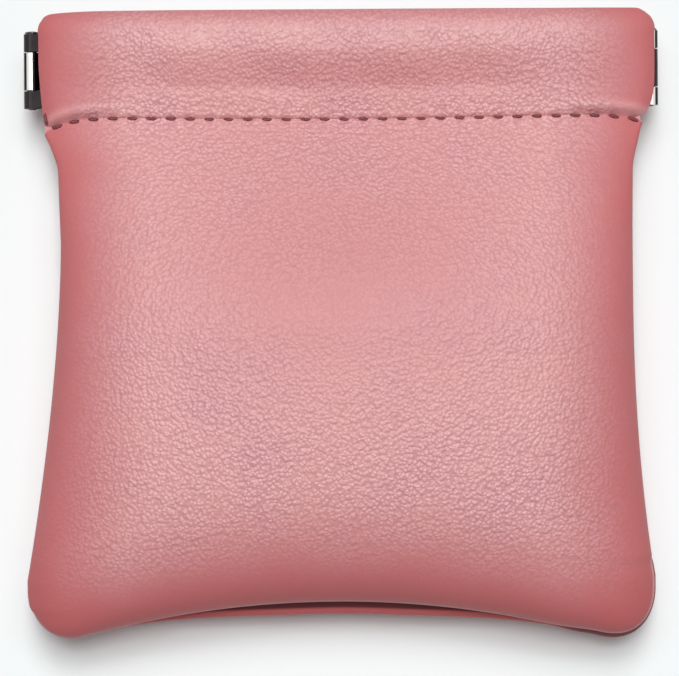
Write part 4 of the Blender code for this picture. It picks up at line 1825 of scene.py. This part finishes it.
@dataclass(frozen=True)
class Softbox:
    """A part of a strip light over the table, so far off that it lights the whole table alike.

    Attributes:
        name: the lamp's name.
        tilt: how far it stands from overhead towards +Y, in degrees.
        lean: how far it stands from overhead towards +X, in degrees.
        spread: the angle that it fills, in degrees.
        level: the brightness that it gives a white surface that faces it.
    """

    name: str
    tilt: float
    lean: float
    spread: float
    level: float

    def build(self) -> None:
        """Hang the lamp. Its strength is pi times its level."""
        lamp = bpy.data.lights.new(self.name, "SUN")
        lamp.angle = math.radians(self.spread)
        lamp.energy = math.pi * self.level
        hung = put_in_scene(self.name, lamp)
        hung.rotation_euler = (-math.radians(self.tilt), math.radians(self.lean), 0.0)


@dataclass
class Studio:
    """The white table, the lamps and the camera straight above.

    Attributes:
        shape: the pouch's shape.
        frame_width: the width that the picture shows at the height of the seam.
        camera_height: height of the camera.
        camera_x: X of the camera.
        camera_y: Y of the camera.
        roll: how far the camera is turned clockwise, in radians.
        sensor: width of the camera's sensor.
        ambient: brightness of the room that lights the pouch.
        table_height: height of the table, just under the leather, so that their faces don't coincide.
        table_half: half width of the table.
        table_lines: lines of points across the table.
        softboxes: the parts of the strip light.
    """

    shape: PouchShape
    frame_width: float = 91.05
    camera_height: float = 600.0
    camera_x: float = -0.42
    camera_y: float = -1.97
    roll: float = 0.0066
    sensor: float = 36.0
    ambient: float = 0.11
    table_height: float = -0.02
    table_half: float = 1500.0
    table_lines: int = 9
    softboxes: tuple[Softbox, ...] = (
        Softbox("strip_light_low", tilt=8.0, lean=0.0, spread=15.0, level=0.32),
        Softbox("strip_light_middle", tilt=18.0, lean=0.0, spread=15.0, level=0.17),
        Softbox("strip_light_left", tilt=18.0, lean=-13.0, spread=15.0, level=0.0875),
        Softbox("strip_light_right", tilt=18.0, lean=13.0, spread=15.0, level=0.0875),
        Softbox("strip_light_high", tilt=27.0, lean=0.0, spread=16.0, level=0.27),
    )

    def table(self) -> None:
        """Lay the table: a wide level grid."""
        side = np.linspace(-self.table_half, self.table_half, self.table_lines)
        x, y = np.meshgrid(side, side[::-1])
        points = np.stack([x.ravel(), y.ravel(), np.full(x.size, self.table_height)], axis=1)
        quads = grid_quads(self.table_lines, self.table_lines).tolist()
        make_piece("white_table", points, quads, [WhiteCard().build()])

    def sky(self) -> None:
        """A soft light from all round, which looks full white to the camera and in a mirror."""
        world = bpy.data.worlds.new("white_room")
        world.use_nodes = True
        tree = world.node_tree
        background = tree.nodes["Background"]
        background.inputs["Color"].default_value = (1.0, 1.0, 1.0, 1.0)
        strength = add_node(
            tree,
            "ShaderNodeMath",
            {"operation": "MULTIPLY_ADD"},
            {0: seen_straight(tree), 1: 1.0 - self.ambient, 2: self.ambient},
        ).outputs["Value"]
        tree.links.new(strength, background.inputs["Strength"])
        bpy.context.scene.world = world

    def camera(self) -> None:
        """Look straight down, with the lens that gives the photograph's width at the seam's height."""
        data = bpy.data.cameras.new("camera_above")
        data.sensor_width = self.sensor
        data.lens = self.sensor * (self.camera_height - self.shape.seam) / self.frame_width
        data.clip_start, data.clip_end = 0.01, 20.0
        camera = put_in_scene("camera_above", data)
        camera.location = (self.camera_x * MM, self.camera_y * MM, self.camera_height * MM)
        camera.rotation_euler = (0.0, 0.0, -self.roll)
        bpy.context.scene.camera = camera

    def build(self) -> None:
        """Set the whole studio up."""
        self.table()
        self.sky()
        self.camera()
        for softbox in self.softboxes:
            softbox.build()
        bpy.context.scene.view_settings.view_transform = "Standard"


@dataclass(frozen=True)
class MouthBend:
    """Where each half of the mouth would start to follow its panel, and where wholly; nothing is bent.

    Attributes:
        leather: where the leather and its thread start, just inside the side seam's corners.
        steel: where a strip starts, so that it meets its tongue, which turns with the hinge end.
        end: where all of them follow the panel.
    """

    leather: float = 39.6
    steel: float = 40.4
    end: float = 8.0

    def apply(self, piece: bpy.types.Object, face: Face, side: Side, start: float) -> None:
        """Bake a piece's transform into its mesh. It is not bent.

        Args:
            piece: half of something that runs along the mouth.
            face: the panel that it belongs to. Not used.
            side: its half. Not used.
            start: where it starts to follow the panel. Not used.
        """
        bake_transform(piece)


def report(piece: bpy.types.Object) -> None:
    """Log a piece's name and how many faces it has."""
    LOG.info("%s: %d faces", piece.name, len(piece.data.polygons))


def main() -> None:
    """Build every piece, hang each strip's tongue on its hinge end's body, and light the scene."""
    logging.basicConfig(level=logging.INFO, format="%(name)s: %(message)s")
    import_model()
    shape = PouchShape.from_frame()
    Studio(shape).build()
    bend = MouthBend()

    grain, flesh, thread = GrainLeather().build(), FleshBacking().build(), Thread().build()
    plate = PlatedSteel("black_nickel_plate", colour="#352f31", roughness=0.36)
    # The back's hinge ends: a darker black nickel, with a painted highlight in a band along the crown of
    # their knuckles.
    highlit_plate = PlatedSteel(
        "black_nickel_rubbed_bright", colour="#1d1b1c", roughness=0.30, highlight_band=(41.30, 42.05)
    )
    spring_steel = PlatedSteel("rolled_spring_steel", colour="#a9adb0", roughness=0.30)
    pin_steel = PlatedSteel("blued_pin_steel", colour="#4c4b4d", roughness=0.28)
    frame = SpringFrame(plate.build(), highlit_plate.build(), spring_steel.build(), pin_steel.build())
    frame.dress_hinges()
    for face in Face:
        panel = LeatherPanel(shape, LeatherTone(shape), face, grain, flesh)
        for side, piece in zip(Side, panel.build()):
            bend.apply(piece, face, side, bend.leather)
            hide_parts(f"{face.word}_panel")
            report(piece)
        for side, piece in zip(Side, HemSeam(shape, face, thread).build()):
            bend.apply(piece, face, side, bend.leather)
            report(piece)
        for side in Side:
            tongue = frame.tongue(face, side)
            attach(tongue, f"{face.word}_{side.word}_end")
            report(tongue)
            piece = frame.spring(face, side)
            bend.apply(piece, face, side, bend.steel)
            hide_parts(f"{face.word}_strip")
            report(piece)


if __name__ == "__main__":
    main()
